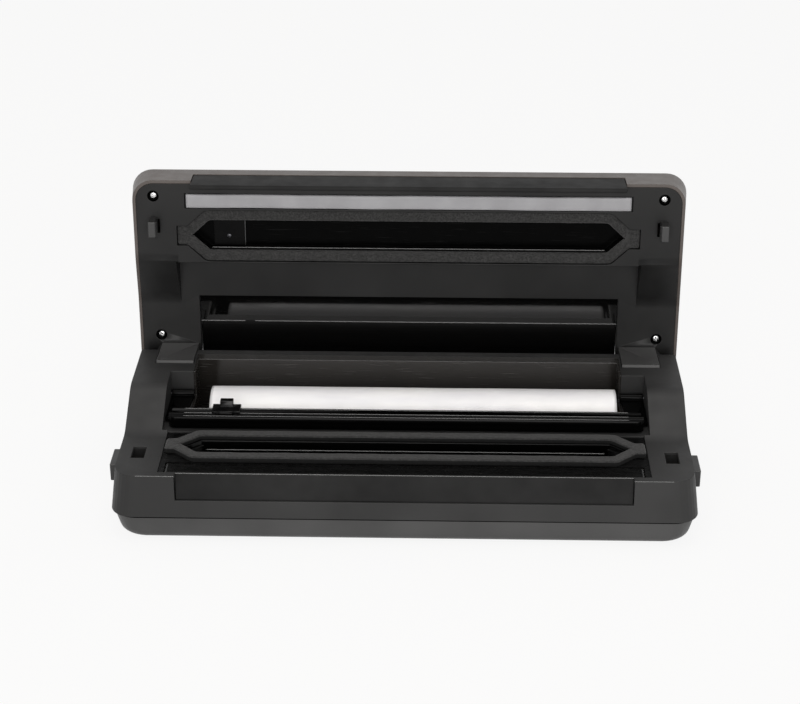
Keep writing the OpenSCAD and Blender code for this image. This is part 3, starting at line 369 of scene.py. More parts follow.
@dataclass(frozen=True)
class CoatedGlassCloth(Finish):
    """Glass cloth with a slick fluoropolymer coating, as on the tape over a sealing bar.

    The weave prints through the coat. Real threads lie 0.4 mm apart, drawn at thread_mm.
    """

    roughness: float = 0.42
    thread_mm: float = 0.9
    dust: float = 0.35

    def surface(self, tree: Tree, where: Socket) -> Inputs:
        """Gives the weave as the product of two waves, with scuffs and specks over it.

        Args:
            tree: The material's node tree.
            where: Object coordinates, in metres.

        Returns:
            What feeds each input of the shader that isn't left at its default.
        """
        waves = [add_node(tree, "ShaderNodeTexWave", {
            "Vector": where, "Scale": per_metre(self.thread_mm) / 20, "Distortion": 0.4,
            "Detail": 1.0}, bands_direction=way).outputs["Fac"] for way in "XY"]
        weave = add_node(tree, "ShaderNodeMath", dict(enumerate(waves)), operation="MULTIPLY")
        along = add_node(tree, "ShaderNodeMapping", {"Vector": where, "Scale": (0.25, 1.0, 1.0)})
        specks = wander(tree, where, 1.2, 1, (0.78, 0.82), (0.0, self.dust))
        tone = clouded(tree, wander(tree, along, 3.0, 5, (0.42, 0.72), roughness=0.7),
                       linear(self.colour), linear(self.colour, 1.3, 0.001),
                       [(specks, linear("#8d8a86"))])
        rough = wander(tree, along, 3.0, 5, (0.3, 0.7),
                       (self.roughness - 0.04, self.roughness + 0.06), 0.7)
        bump = add_node(tree, "ShaderNodeBump", {
            "Height": weave, "Strength": 0.6, "Distance": 0.06 * MM})
        return {"Base Color": tone, "Roughness": rough, "Normal": bump, "IOR": 1.3}


@dataclass(frozen=True)
class EmbossedFilm(Finish):
    """Clear nylon and polyethylene bag film wound in many layers, which together look white.

    Diagonal ribs, embossed for the air to pass, show faintly through the outer layers, and the
    light goes a few millimetres into them.
    """

    shade: str = "#ededf0"
    rib_mm: float = 3.2

    def surface(self, tree: Tree, where: Socket) -> Inputs:
        """Gives two crossing sets of ribs and the slack of the wound film, on its own map.

        Args:
            tree: The material's node tree.
            where: Object coordinates, in metres.

        Returns:
            What feeds each input of the shader that isn't left at its default.
        """
        spot = add_node(tree, "ShaderNodeUVMap", uv_map="UVMap")
        ribs = []
        for turn in (0.6, -0.6):
            aim = add_node(tree, "ShaderNodeMapping", {
                "Vector": spot, "Rotation": (0.0, 0.0, turn)})
            ribs.append(add_node(tree, "ShaderNodeTexWave", {
                "Vector": aim, "Scale": per_metre(self.rib_mm) / 20, "Distortion": 0.6,
                "Detail": 1.0, "Detail Scale": 0.2}, bands_direction="X").outputs["Fac"])
        mesh = add_node(tree, "ShaderNodeMath", dict(enumerate(ribs)), operation="MAXIMUM")
        along = add_node(tree, "ShaderNodeMapping", {"Vector": spot, "Scale": (0.25, 1.0, 1.0)})
        slack = add_node(tree, "ShaderNodeTexNoise", {
            "Vector": along, "Scale": per_metre(22), "Detail": 3.0})
        rough = add_node(tree, "ShaderNodeMapRange", {"Value": mesh, "To Min": 0.28,
                                                      "To Max": 0.42})
        soft = add_node(tree, "ShaderNodeBump", {
            "Height": slack, "Strength": 0.5, "Distance": 0.8 * MM})
        bump = add_node(tree, "ShaderNodeBump", {
            "Height": mesh, "Strength": 0.25, "Distance": 0.06 * MM, "Normal": soft})
        tone = clouded(tree, wander(tree, along, 22, 3, (0.38, 0.66)), linear(self.shade),
                       linear(self.colour))
        return {"Base Color": tone, "Roughness": rough, "Normal": bump, "IOR": 1.5,
                "Subsurface Weight": 0.5, "Subsurface Radius": (0.006, 0.006, 0.006)}


class MetalMake(Enum):
    """How a metal surface was made, as the direction scales of its fine marks."""

    TURNED = (1.0, 1.0, 1.0)
    DRAWN = (0.05, 1.0, 1.0)
    STACKED = (0.0, 1.0, 0.0)


@dataclass(frozen=True)
class BareMetal(Finish):
    """Plated, drawn or rolled metal with the fine marks of its making."""

    roughness: float = 0.3
    make: MetalMake = MetalMake.TURNED
    mark_mm: float = 0.6

    def surface(self, tree: Tree, where: Socket) -> Inputs:
        """Gives the marks and a faint tarnish.

        Args:
            tree: The material's node tree.
            where: Object coordinates, in metres.

        Returns:
            What feeds each input of the shader that isn't left at its default.
        """
        drawn = add_node(tree, "ShaderNodeMapping", {"Vector": where, "Scale": self.make.value})
        marks = add_node(tree, "ShaderNodeTexNoise", {
            "Vector": drawn, "Scale": per_metre(self.mark_mm), "Detail": 2.0})
        tone = clouded(tree, wander(tree, where, 8, 3, (0.35, 0.65)), linear(self.colour, 0.72),
                       linear(self.colour))
        rough = wander(tree, drawn, self.mark_mm, 2, (0.3, 0.7),
                       (self.roughness * 0.8, self.roughness * 1.3))
        bump = add_node(tree, "ShaderNodeBump", {
            "Height": marks, "Strength": 0.4, "Distance": 0.02 * MM})
        return {"Base Color": tone, "Roughness": rough, "Normal": bump, "Metallic": 1.0}


@dataclass(frozen=True)
class WhiteFloor(Finish):
    """Matt white paper sweep, which keeps a faint shadow where it is seen."""

    lift: float = 0.88

    def surface(self, tree: Tree, where: Socket) -> Inputs:
        """Gives the plain paper.

        Args:
            tree: The material's node tree.
            where: Object coordinates, in metres.

        Returns:
            What feeds each input of the shader that isn't left at its default.
        """
        return {"Base Color": linear(self.colour), "Roughness": 0.9, "Specular IOR Level": 0.0}

    def material(self) -> bpy.types.Material:
        """Makes the material, with white mixed in where it is seen or mirrored."""
        material = super().material()
        tree = material.node_tree
        path = add_node(tree, "ShaderNodeLightPath").outputs
        seen = add_node(tree, "ShaderNodeMath", {
            0: path["Is Camera Ray"], 1: path["Is Glossy Ray"]}, operation="MAXIMUM")
        share = add_node(tree, "ShaderNodeMath", {0: seen, 1: self.lift}, operation="MULTIPLY")
        white = add_node(tree, "ShaderNodeEmission", {
            "Color": (1.0, 1.0, 1.0, 1.0), "Strength": 1.0})
        both = add_node(tree, "ShaderNodeMixShader", {
            0: share, 1: tree.nodes["Principled BSDF"], 2: white})
        tree.links.new(both.outputs[0], tree.nodes["Material Output"].inputs["Surface"])
        return material


# Black and graphite ABS of the housing, with the satin of a fine mould grain.
HOUSING = MouldedPlastic("graphite_abs_moulded", "#1e1e1e", 0.5, 0.3)
# Same graphite plastic as the deck, painted lighter: painted light for the white floor's bounce and
# reflection on the tub's walls.
TUB_LIT = MouldedPlastic("graphite_abs_tub_painted_light", "#2f2f2f", 0.42, 0.5)
# Near black for the tub's top band under the deck's overhang: a painted shadow under the deck's
# edge.
UNDER_DECK_SHADOW = MouldedPlastic("abs_tub_painted_shadow", "#030303", 0.8, 0.05)
LID_INSIDE = MouldedPlastic("black_abs_fine_grain", "#0e0e0e", 0.42, 0.2)
# Darker copy of the lid's black for its recessed middle ledge: painted shade.
LEDGE_SHADE = MouldedPlastic("black_abs_ledge_painted_shade", "#090909", 0.45, 0.2)
FLAPS = MouldedPlastic("graphite_abs_hinge_cover", "#363636", 0.35, 0.4)
# The lid shell's dark plastic, painted lighter and warmer: painted light for the light that its
# up-facing rim catches.
LID_OUTSIDE_LIT = MouldedPlastic("abs_lid_shell_painted_light", "#39322e", 0.4, 0.5)
GRIP = MouldedPlastic("black_abs_moulded_grip", "#101010", 0.6, 0.15)
RECESS = MouldedPlastic("black_abs_recess_plate", "#111111", 0.6, 0.13)
SMALL_PARTS = MouldedPlastic("black_abs_moulded_small", "#191919", 0.42, 0.5)
KEYS = MouldedPlastic("grey_abs_keys", "#343435", 0.4)
# Black plastic from polished moulds: tray, rail and pane. Also the pockets' painted shade
# and the glossy rods that stand for highlights.
# Near black and almost without gloss in the lid's pockets and screw counterbores: painted shade in
# these recesses.
POCKET_SHADE = PolishedPlastic("black_abs_pocket_painted_shade", "#020202", 0.2, 0.03, 0.2)
# Glossy and paler than the black around them: rods laid as painted highlights and a painted
# reflection.
HIGHLIGHT_ROD = PolishedPlastic("polished_rod_painted_highlight", "#2a2a2a", 0.16, 0.9, 0.05)
TRAY = PolishedPlastic("black_abs_polished_tray", "#030303", 0.16, 0.12, 0.1)
VALVE = PolishedPlastic("black_abs_valve_plate", "#060606", 0.25, 0.05, 0.1)
# Black plastic with a warm brown tint: the tint is a painted reflection on the trough's rear wall.
TROUGH = PolishedPlastic("black_abs_polished", "#1b1917", 0.2, 0.6, 0.3)
RAIL = PolishedPlastic("black_acetal_polished", "#030303", 0.16, 0.08, 0.08)
RAIL_FRONT = PolishedPlastic("black_acetal_polished_front", "#020202", 0.2, 0.06, 0.05)
SLIDER = PolishedPlastic("black_acetal_moulded", "#060606", 0.2, 0.2, 0.05)
PANE = PolishedPlastic("smoked_acrylic_polished", "#050505", 0.05, 0.6, 0.1, 1.49)
# Cloth, foam, rubber and film.
BED = CoatedGlassCloth("coated_glass_cloth_bed", "#050505", 0.28)
TAPE = CoatedGlassCloth("coated_glass_cloth_tape", "#060606", 0.26)
FOAM = CellRubber("neoprene_foam_split", "#202020", 1.15)
# Near-black copy for the base ring's side faces: painted shade where the light from above misses
# them.
FOAM_SIDE_SHADE = CellRubber("neoprene_foam_side_painted_shade", "#030303", 1.15, 0.0015, 0.0)
SILICONE = SoftRubber("grey_silicone_extruded", "#929295", 0.5, 0.1)
FEET = SoftRubber("black_rubber_moulded", "#141414", 0.7)
HOSE = SoftRubber("clear_silicone_hose", "#b9b7ae", 0.4, 0.3)
FILM = EmbossedFilm("nylon_film_wound", "#fbfbfb")
# Metals.
CHROME = BareMetal("zinc_plated_steel", "#d9d9d9", 0.16)
STEEL = BareMetal("rolled_steel_plated", "#b4b6b8", 0.32)
DARK_STEEL = BareMetal("black_oxide_steel", "#505053", 0.3)
IRON = BareMetal("laminated_iron_sheet", "#6c6258", 0.5, MetalMake.STACKED, 0.8)
ALUMINIUM = BareMetal("extruded_aluminium", "#a9a6a0", 0.4, MetalMake.DRAWN)
WIRE = BareMetal("nichrome_ribbon_rolled", "#8f8478", 0.35, MetalMake.DRAWN)
BRASS = BareMetal("nickel_plated_brass", "#cdbb86", 0.25)
# Pieces inside, and the floor.
NATURAL = MouldedPlastic("natural_acetal_moulded", "#d8d4c7", 0.45)
BOARD = MouldedPlastic("green_solder_mask", "#17402a", 0.35)
CARD = MouldedPlastic("spiral_wound_cardboard", "#a4865e", 0.85, 0.2, 1.2, 0.06)
LIGHTS = MouldedPlastic("frosted_light_pipe", "#c9ccce", 0.3)
FLOOR = WhiteFloor("white_paper_matt", "#d6d5d4")

# The nodes that each finish covers.
COVERED: dict[Finish, str] = {
    HOUSING: "base_deck", TUB_LIT: "base_tub", FEET: "feet", TROUGH: "roll_trough", BED: "seal_bed",
    TAPE: "ptfe_tape", TRAY: "vacuum_tray", RAIL: "cutter_rail", SLIDER: "cutter_slider",
    FILM: "bag_roll", CARD: "roll_core", HOSE: "vacuum_hose", IRON: "transformer",
    ALUMINIUM: "heating_bar", WIRE: "heating_wire", BRASS: "inlet_pins",
    LID_OUTSIDE_LIT: "lid_shell", LID_INSIDE: "lid_frame", GRIP: "lid_grip", PANE: "lid_window",
    SILICONE: "pressing_strip", VALVE: "valve_cover", LIGHTS: "indicator_lights",
    FOAM: "base_gasket lid_gasket", CHROME: "base_screws tray_screws lid_screws",
    DARK_STEEL: "cutter_pivots valve_screw", BOARD: "power_board control_board",
    KEYS: "key_vacuum_seal key_seal key_pulse key_stop",
    STEEL: "pump_motor pump_crank hinge_pins cutter_blade latch_spring_left latch_spring_right",
    NATURAL: "pump_head release_valve latch_slide_left latch_slide_right",
    SMALL_PARTS: "power_inlet lid_switches release_button_left release_button_right latch_hooks "
                 "control_panel",
}
NODE_FINISH: dict[str, Finish] = {
    node: finish for finish, nodes in COVERED.items() for node in nodes.split()}
KEY_RADIUS = 0.4  # radius to which a mould leaves the edges of the keys


# ---- mesh making -----------------------------------------------------------------------------


def body_of_node(node: str) -> str:
    """Gives the CAD body that carries a node."""
    bodies = frame["record"]["behaviour"]["bodies"]
    return next(body for body, nodes in bodies.items() if node in nodes)


@dataclass(frozen=True)
class Region:
    """A box in which a moulding has another finish, such as the painted shade in a pocket.

    Values are x without its sign, distance from the hinge and height in millimetres. On a raised
    piece the box is given for the shut lid.
    """

    low: Triple
    high: Triple
    finish: Finish
    raised: bool = False

    def holds(self, centres: np.ndarray) -> np.ndarray:
        """Says which points lie in the box.

        Args:
            centres: Array of n by 3, in millimetres in the world.

        Returns:
            Array of n truth values.
        """
        x, y, z = centres.T
        if self.raised:
            c, s = math.cos(LID_OPEN), math.sin(LID_OPEN)
            y, z = y - HINGE_Y, z - HINGE_H
            y, z = HINGE_Y - (z * s - y * c), y * s + z * c + HINGE_H
        spot = np.stack([np.abs(x), HINGE_Y - y, z], -1)
        return np.all((spot > self.low) & (spot < self.high), axis=1)


def raise_lid(points: np.ndarray) -> np.ndarray:
    """Turns points drawn for the shut lid about the hinge axis to where the raised lid has them.

    Args:
        points: Array of x, front and height in millimetres, with front counted from the hinge.

    Returns:
        Array of x, y and z in millimetres.
    """
    c, s = math.cos(LID_OPEN), math.sin(LID_OPEN)
    x, y, z = points[..., 0], -points[..., 1], points[..., 2] - HINGE_H
    return np.stack([x, y * c + z * s + HINGE_Y, -y * s + z * c + HINGE_H], -1)


def place(points: np.ndarray) -> np.ndarray:
    """Puts points given as x, front and height at their place in the base, in millimetres."""
    return np.stack([points[..., 0], HINGE_Y - points[..., 1], points[..., 2]], -1)


def linked(name: str, data: bpy.types.ID) -> Piece:
    """Makes an object of a mesh, a light or a camera.

    Args:
        name: The object's name.
        data: What it shows.

    Returns:
        The object, linked to the scene.
    """
    thing = bpy.data.objects.new(name, data)
    bpy.context.scene.collection.objects.link(thing)
    return thing


def mesh_object(name: str, points: np.ndarray, faces: np.ndarray | list[list[int]], finish: Finish,
                uv: np.ndarray | None = None) -> Piece:
    """Makes a smooth-shaded object from points in millimetres and faces.

    Args:
        name: Name of the piece.
        points: Array of n by 3.
        faces: The point numbers of each face.
        finish: The piece's finish.
        uv: Array of n by 2 in metres, one for each point.

    Returns:
        The object, linked to the scene.
    """
    mesh = bpy.data.meshes.new(name)
    mesh.from_pydata((points.reshape(-1, 3) * MM).tolist(), [], [list(face) for face in faces])
    mesh.validate()
    if uv is not None:
        layer = mesh.uv_layers.new(name="UVMap")
        corner = np.empty(len(mesh.loops), np.int32)
        mesh.loops.foreach_get("vertex_index", corner)
        layer.data.foreach_set("uv", uv.reshape(-1, 2)[corner].astype(np.float32).ravel())
    mesh.polygons.foreach_set("use_smooth", np.ones(len(mesh.polygons), bool))
    mesh.materials.append(material_of(finish))
    return linked(name, mesh)


def grid_faces(rows: int, columns: int, close_rows: bool = False,
               close_columns: bool = False) -> np.ndarray:
    """Numbers the four-cornered faces of a grid of points.

    Args:
        rows: Points in the first direction.
        columns: Points in the second direction.
        close_rows: Whether the last row joins the first.
        close_columns: Whether the last column joins the first.

    Returns:
        Array of faces by 4.
    """
    i = np.arange(rows if close_rows else rows - 1)
    j = np.arange(columns if close_columns else columns - 1)
    a, b = np.meshgrid(i, j, indexing="ij")
    a2, b2 = (a + 1) % rows, (b + 1) % columns
    quads = np.stack([a * columns + b, a2 * columns + b, a2 * columns + b2, a * columns + b2], -1)
    return quads.reshape(-1, 4)


def dress(piece: Piece, node: str, *replaced: str) -> Piece:
    """Lets a piece ride on a node's body and stand for it and for others.

    Args:
        piece: The new piece.
        node: The CAD node that it follows.
        *replaced: The nodes that it stands for.

    Returns:
        The piece.
    """
    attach(piece, body_of_node(node))
    if replaced:
        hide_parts(*replaced)
    log.info("%s: %d faces on %s", piece.name, len(piece.data.polygons), body_of_node(node))
    return piece


def moulded_copy(node: str, finish: Finish, radius_mm: float = 0.0, cuts: Sequence[float] = (),
                 change: Callable[[np.ndarray], np.ndarray] | None = None,
                 angle: float = EDGE_ANGLE, regions: Sequence[Region] = ()) -> Piece:
    """Stands for a node by a copy with broken edges, whose points may be moved by a function.

    The copy's loose triangles are merged. It is cut by level planes where a curve is wanted, its
    points are moved as an array, and a Bevel rounds each edge where faces meet at over angle.

    Args:
        node: The CAD node.
        finish: The piece's finish.
        radius_mm: Width of the broken edge, or 0 for none.
        cuts: Heights of the planes, in millimetres.
        change: Moves points given as x, distance from the hinge and height.
        angle: Least angle of an edge that is rounded, in degrees.
        regions: Boxes whose faces have another finish.

    Returns:
        The dressed piece.
    """
    mesh = bpy.data.meshes.new(node + "_soft")
    work = bmesh.new()
    work.from_mesh(frame["nodes"][node].data)
    bmesh.ops.remove_doubles(work, verts=work.verts, dist=2e-6)
    for height in cuts:
        bmesh.ops.bisect_plane(work, geom=work.verts[:] + work.edges[:] + work.faces[:],
                               plane_co=(0.0, 0.0, height * MM), plane_no=(0.0, 0.0, 1.0))
    work.to_mesh(mesh)
    work.free()
    if change is not None:
        flat = np.empty(len(mesh.vertices) * 3, np.float32)
        mesh.vertices.foreach_get("co", flat)
        points = flat.reshape(-1, 3).astype(float) / MM
        points[:, 1] = HINGE_Y - points[:, 1]
        mesh.vertices.foreach_set("co", (place(change(points)) * MM).astype(np.float32).ravel())
    mesh.materials.clear()
    mesh.materials.append(material_of(finish))
    centres = np.empty(len(mesh.polygons) * 3, np.float32)
    mesh.polygons.foreach_get("center", centres)
    choice = np.zeros(len(mesh.polygons), np.int32)
    for region in regions:
        mesh.materials.append(material_of(region.finish))
        choice[region.holds(centres.reshape(-1, 3).astype(float) / MM)] = len(mesh.materials) - 1
    mesh.polygons.foreach_set("material_index", choice)
    mesh.polygons.foreach_set("use_smooth", np.ones(len(mesh.polygons), bool))
    mesh.set_sharp_from_angle(angle=math.radians(angle))
    piece = linked(node + "_soft", mesh)
    if radius_mm:
        break_edges(piece, radius_mm, angle)
    return dress(piece, node, node)


def break_edges(piece: Piece, radius_mm: float, angle: float = EDGE_ANGLE,
                segments: int = 2) -> None:
    """Rounds a piece's sharp edges as a mould leaves them.

    Args:
        piece: The piece.
        radius_mm: Width of the rounding.
        angle: Least angle of an edge that is rounded, in degrees.
        segments: Steps across the rounding.
    """
    bevel = piece.modifiers.new("broken_edges", "BEVEL")
    bevel.width = radius_mm * MM
    bevel.segments = segments
    bevel.limit_method = "ANGLE"
    bevel.angle_limit = math.radians(angle)
    bevel.use_clamp_overlap = False
    bevel.harden_normals = True


def mirrored(half_w: float) -> Pair:
    """Gives the two ends of a run that the middle plane halves."""
    return (-half_w, half_w)


def carried(name: str, profile: Sequence[Pair], stations: np.ndarray, finish: Finish,
            on_lid: bool = False, along_front: bool = False) -> Piece:
    """Carries a closed profile in a straight line and closes both ends.

    Args:
        name: Name of the piece.
        profile: Its corners, as distance from the hinge and height, or x and height.
        stations: The places along the line, in millimetres.
        finish: The piece's finish.
        on_lid: Whether the profile is drawn for the shut lid and put up with it.
        along_front: Whether the line runs away from the hinge, and not along x.

    Returns:
        The object, not yet dressed.
    """
    corners = np.array(profile, float)
    count, last = len(corners), len(stations) - 1
    run = np.broadcast_to(np.asarray(stations, float)[:, None], (last + 1, count))
    first, height = (np.broadcast_to(column, run.shape) for column in corners.T)
    points = np.stack([first, run, height] if along_front else [run, first, height], -1)
    faces = grid_faces(last + 1, count, close_columns=True).tolist()
    faces += [list(range(count)), list(range(last * count, (last + 1) * count))]
    piece = mesh_object(name, raise_lid(points) if on_lid else place(points), faces, finish)
    tidy(piece)
    piece.data.set_sharp_from_angle(angle=math.radians(EDGE_ANGLE))
    return piece


def joined(name: str, pieces: Sequence[Piece]) -> Piece:
    """Makes one object of several that were not dressed yet.

    Args:
        name: Name of the whole piece.
        pieces: The parts, which are removed.

    Returns:
        The whole piece.
    """
    work = bmesh.new()
    for piece in pieces:
        work.from_mesh(piece.data)
    mesh = bpy.data.meshes.new(name)
    work.to_mesh(mesh)
    work.free()
    mesh.materials.append(pieces[0].data.materials[0])
    mesh.set_sharp_from_angle(angle=math.radians(EDGE_ANGLE))
    for piece in pieces:
        bpy.data.objects.remove(piece)
    return linked(name, mesh)


def tidy(piece: Piece) -> None:
    """Merges doubled points of a piece and turns its faces outwards.

    Args:
        piece: The piece, whose mesh is changed.
    """
    work = bmesh.new()
    work.from_mesh(piece.data)
    bmesh.ops.remove_doubles(work, verts=work.verts, dist=1e-6)
    bmesh.ops.recalc_face_normals(work, faces=work.faces)
    work.to_mesh(piece.data)
    work.free()


# Regions of the lid's frame, given for the shut lid: painted shade in the pockets and screw
# counterbores, the hinge flap covers, and painted shade on the recessed middle ledge.
LID_REGIONS: list[Region] = [
    Region((0, 89, 52.5), (152, 117.5, 70), POCKET_SHADE, raised=True),
    Region((0, -13, 60), (149, 6.2, 75), POCKET_SHADE, raised=True),
    Region((149.5, -40, 30), (177, 24, 67.3), FLAPS, raised=True),
    Region((0, 52.2, 55), (158, 83, 76), LEDGE_SHADE, raised=True),
    Region((170.5, 127.6, 49.8), (178.7, 135.8, 58), POCKET_SHADE, raised=True),
    Region((172.3, 17.4, 68.6), (180.5, 25.6, 76), POCKET_SHADE, raised=True),
]


# ---- the machine -----------------------------------------------------------------------------


@dataclass(frozen=True)
class Studio:
    """Pale floor, white surroundings, soft lights and the camera."""

    camera_at: Triple = (20.8, -1143.8, 671.9)
    right: Triple = (0.99976, 0.02194, 0.0)
    up: Triple = (-0.00985, 0.44887, 0.89354)
    lens: float = 85.42
    floor_mm: float = 6000.0
    sky: float = 0.6
    aim_h: float = 80.0

    def camera(self) -> None:
        """Makes the camera, which looks down at the machine from the front."""
        data = bpy.data.cameras.new("camera")
        data.lens = self.lens
        data.sensor_width = 36.0
        data.clip_start = 0.05
        data.clip_end = 30.0
        right, up = Vector(self.right).normalized(), Vector(self.up).normalized()
        back = right.cross(up)
        turn = Matrix((right, up, back)).transposed()
        camera = linked("camera", data)
        camera.matrix_world = Matrix.Translation(Vector(self.camera_at) * MM) @ turn.to_4x4()
        bpy.context.scene.camera = camera

    def floor(self) -> None:
        """Makes the pale floor, white where it is seen or mirrored, with the machine's shadow."""
        half = self.floor_mm / 2
        corners = np.array([[-1, -1, 0], [1, -1, 0], [1, 1, 0], [-1, 1, 0]]) * half
        mesh_object("floor", corners, [[0, 1, 2, 3]], FLOOR)

    def world(self) -> None:
        """Gives the surroundings: white where they are seen or mirrored, softer as light."""
        world = bpy.data.worlds.new("surroundings")
        bpy.context.scene.world = world
        world.use_nodes = True
        tree = world.node_tree
        tree.nodes.clear()
        path = add_node(tree, "ShaderNodeLightPath").outputs
        seen = path["Is Camera Ray"]
        for ray in ("Is Transmission Ray", "Is Glossy Ray"):
            seen = add_node(tree, "ShaderNodeMath", {0: seen, 1: path[ray]}, operation="MAXIMUM")
        light = add_node(tree, "ShaderNodeBackground", {
            "Color": linear("#fffdfb"), "Strength": self.sky})
        white = add_node(tree, "ShaderNodeBackground", {
            "Color": linear("#ffffff"), "Strength": 1.0})
        both = add_node(tree, "ShaderNodeMixShader", {0: seen, 1: light, 2: white})
        add_node(tree, "ShaderNodeOutputWorld", {"Surface": both})

    def lamp(self, name: str, at: Sequence[float], size: float, power: float, colour: str) -> None:
        """Hangs a square soft light that points at the machine.

        Args:
            name: Name of the light.
            at: Its place in millimetres.
            size: Its side in millimetres.
            power: Its power in watts.
            colour: Its colour.
        """
        data = bpy.data.lights.new(name, "AREA")
        data.shape = "SQUARE"
        data.size = size * MM
        data.energy = power
        data.color = linear(colour)[:3]
        lamp = linked(name, data)
        lamp.location = Vector(at) * MM
        aim = Vector((0, 0, self.aim_h)) * MM - lamp.location
        lamp.rotation_euler = aim.to_track_quat("-Z", "Y").to_euler()

    def build(self) -> None:
        """Makes the whole studio."""
        self.camera()
        self.floor()
        self.world()
        self.lamp("overhead", (0, -60, 1500), 800, 5.2, "#fffaf5")
        self.lamp("front", (0, -1700, 450), 1500, 30.0, "#fffdfb")
        bpy.context.scene.view_settings.view_transform = "Standard"
        log.info("studio ready")


@dataclass(frozen=True)
class FoamRing:
    """A ring of split foam rubber with pointed ends, as on the base and in the lid.

    The ring runs along an outline of six sides with softened shoulders and a blunt tab at each
    end. Its section is a flat top whose edges roll over by the tenth power, and it waves a little
    along its length. The shut lid presses the base's ring to shut_high; it gets its own mesh.
    """

    name: str
    node: str
    middle: float = 103.1
    low: float = 46.5
    high: float = 52.4
    shut_high: float = 50.7
    on_lid: bool = False
    inner_half_w: float = 137.0
    inner_tip: float = 149.0
    inner_half_d: float = 10.9
    width: float = 7.4
    tab_neck: float = 152.4
    tab_tip: float = 159.0
    tab_half_d: float = 6.7
    edge_share: float = 0.84
    side_finish: Finish = FOAM

    def outline(self, grow: float, shoulder: float) -> np.ndarray:
        """Samples the six-sided outline let out by grow, evenly in each side.

        Args:
            grow: How far outside the chamber's edge it runs.
            shoulder: Half length of the straight stretch.

        Returns:
            Array of n by 2, x and front, for a closed loop.
        """
        d = self.inner_half_d + grow
        neck, tip, end = self.tab_neck, self.tab_tip, self.tab_half_d
        if grow < 1:  # the inner edge has points instead of tabs
            neck, tip, end = self.inner_tip - 0.8, self.inner_tip, 0.6
        right = np.array([[shoulder, d], [neck, end], [tip, end], [tip, -end], [neck, -end],
                          [shoulder, -d]])
        corners = np.roll(np.concatenate([right, -right]), 1, 0)
        counts = [150, 18, 8, 12, 8, 18] * 2
        sides = [a + (b - a) * np.linspace(0, 1, n, endpoint=False)[:, None]
                 for a, b, n in zip(corners, np.roll(corners, -1, 0), counts)]
        loop = np.concatenate(sides)
        for _ in range(2):
            loop = (np.roll(loop, 1, 0) + 2 * loop + np.roll(loop, -1, 0)) / 4
        return loop

    def build(self) -> Piece:
        """Makes the ring with its end tabs as one piece.

        Returns:
            The dressed ring.
        """
        inner = self.outline(0.15, self.inner_half_w)
        outer = self.outline(self.width, self.inner_half_w + 2.5)
        across = np.concatenate([[0.0], np.linspace(0, 1, 15), [1.0]])
        rise = np.clip(1 - np.abs(2 * across - 1) ** 10, 0, 1) ** (1 / 2.2)
        heights = self.edge_share + (1 - self.edge_share) * rise
        heights[[0, -1]] = 0.0
        loop = inner[:, None] + (outer - inner)[:, None] * across[None, :, None]
        run = np.arange(len(inner)) / len(inner) * 2 * math.pi
        wave = 0.06 * np.sin(17 * run)[:, None] + 0.05 * np.sin(41 * run + 1.3)[:, None]
        thick = self.high - self.low
        z = self.low + heights * thick - 0.08 + wave * (heights > 0.2)
        if self.on_lid:
            z = self.low + self.high - z
        points = np.concatenate([loop + np.array([0.0, self.middle]), z[..., None]], -1)
        faces = grid_faces(len(inner), len(across), close_rows=True, close_columns=True)
        placed = raise_lid(points) if self.on_lid else place(points)
        ring = mesh_object(self.name, placed, faces, FOAM)
        # The ring's side faces take side_finish; on the base's ring that is the near-black copy,
        # painted shade on these sides.
        ring.data.materials.append(material_of(self.side_finish))
        side = np.isin(np.arange(len(faces)) % len(across), (0, len(across) - 2))
        ring.data.polygons.foreach_set("material_index", side.astype(np.int32))
        tidy(ring)
        dress(ring, self.node, self.node)
        if self.shut_high < self.high:
            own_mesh(ring)
        return ring


@dataclass(frozen=True)
class PressingStrip:
    """The silicone strip that presses the bag on the heating bar.

    Its section is a rounded bar, by powers of a sine and a cosine, and it waves by slow sines.
    """

    half_w: float = 152.0
    middle: float = 128.45
    depth: float = 9.7
    face_h: float = 48.6
    back_h: float = 52.1

    def build(self) -> Piece:
        """Makes the strip.

        Returns:
            The dressed strip.
        """
        x = np.linspace(-self.half_w, self.half_w, 180)
        turn = np.linspace(0, 2 * math.pi, 40, endpoint=False)
        ct, st = np.cos(turn), np.sin(turn)
        f = np.sign(ct) * np.abs(ct) ** 0.4 * self.depth / 2
        rise = np.sign(st) * np.abs(st) ** 0.5
        z = (self.face_h + self.back_h) / 2 + rise * (self.back_h - self.face_h) / 2
        wave = 0.16 * np.sin(x / 21.0) + 0.1 * np.sin(x / 9.0 + 1.0)
        points = np.stack(np.broadcast_arrays(
            x[:, None], self.middle + f + wave[:, None] * 0.6, z), -1)
        first, last = ([ring.mean(1, keepdims=True) * (1 - share) + ring * share
                        for share in (0.0, 0.9)] for ring in (points[:1], points[-1:]))
        whole = np.concatenate(first + [points] + last[::-1])
        faces = grid_faces(len(whole), len(turn), close_columns=True)
        strip = mesh_object("silicone_strip", raise_lid(whole), faces, SILICONE)
        tidy(strip)
        return dress(strip, "pressing_strip", "pressing_strip")


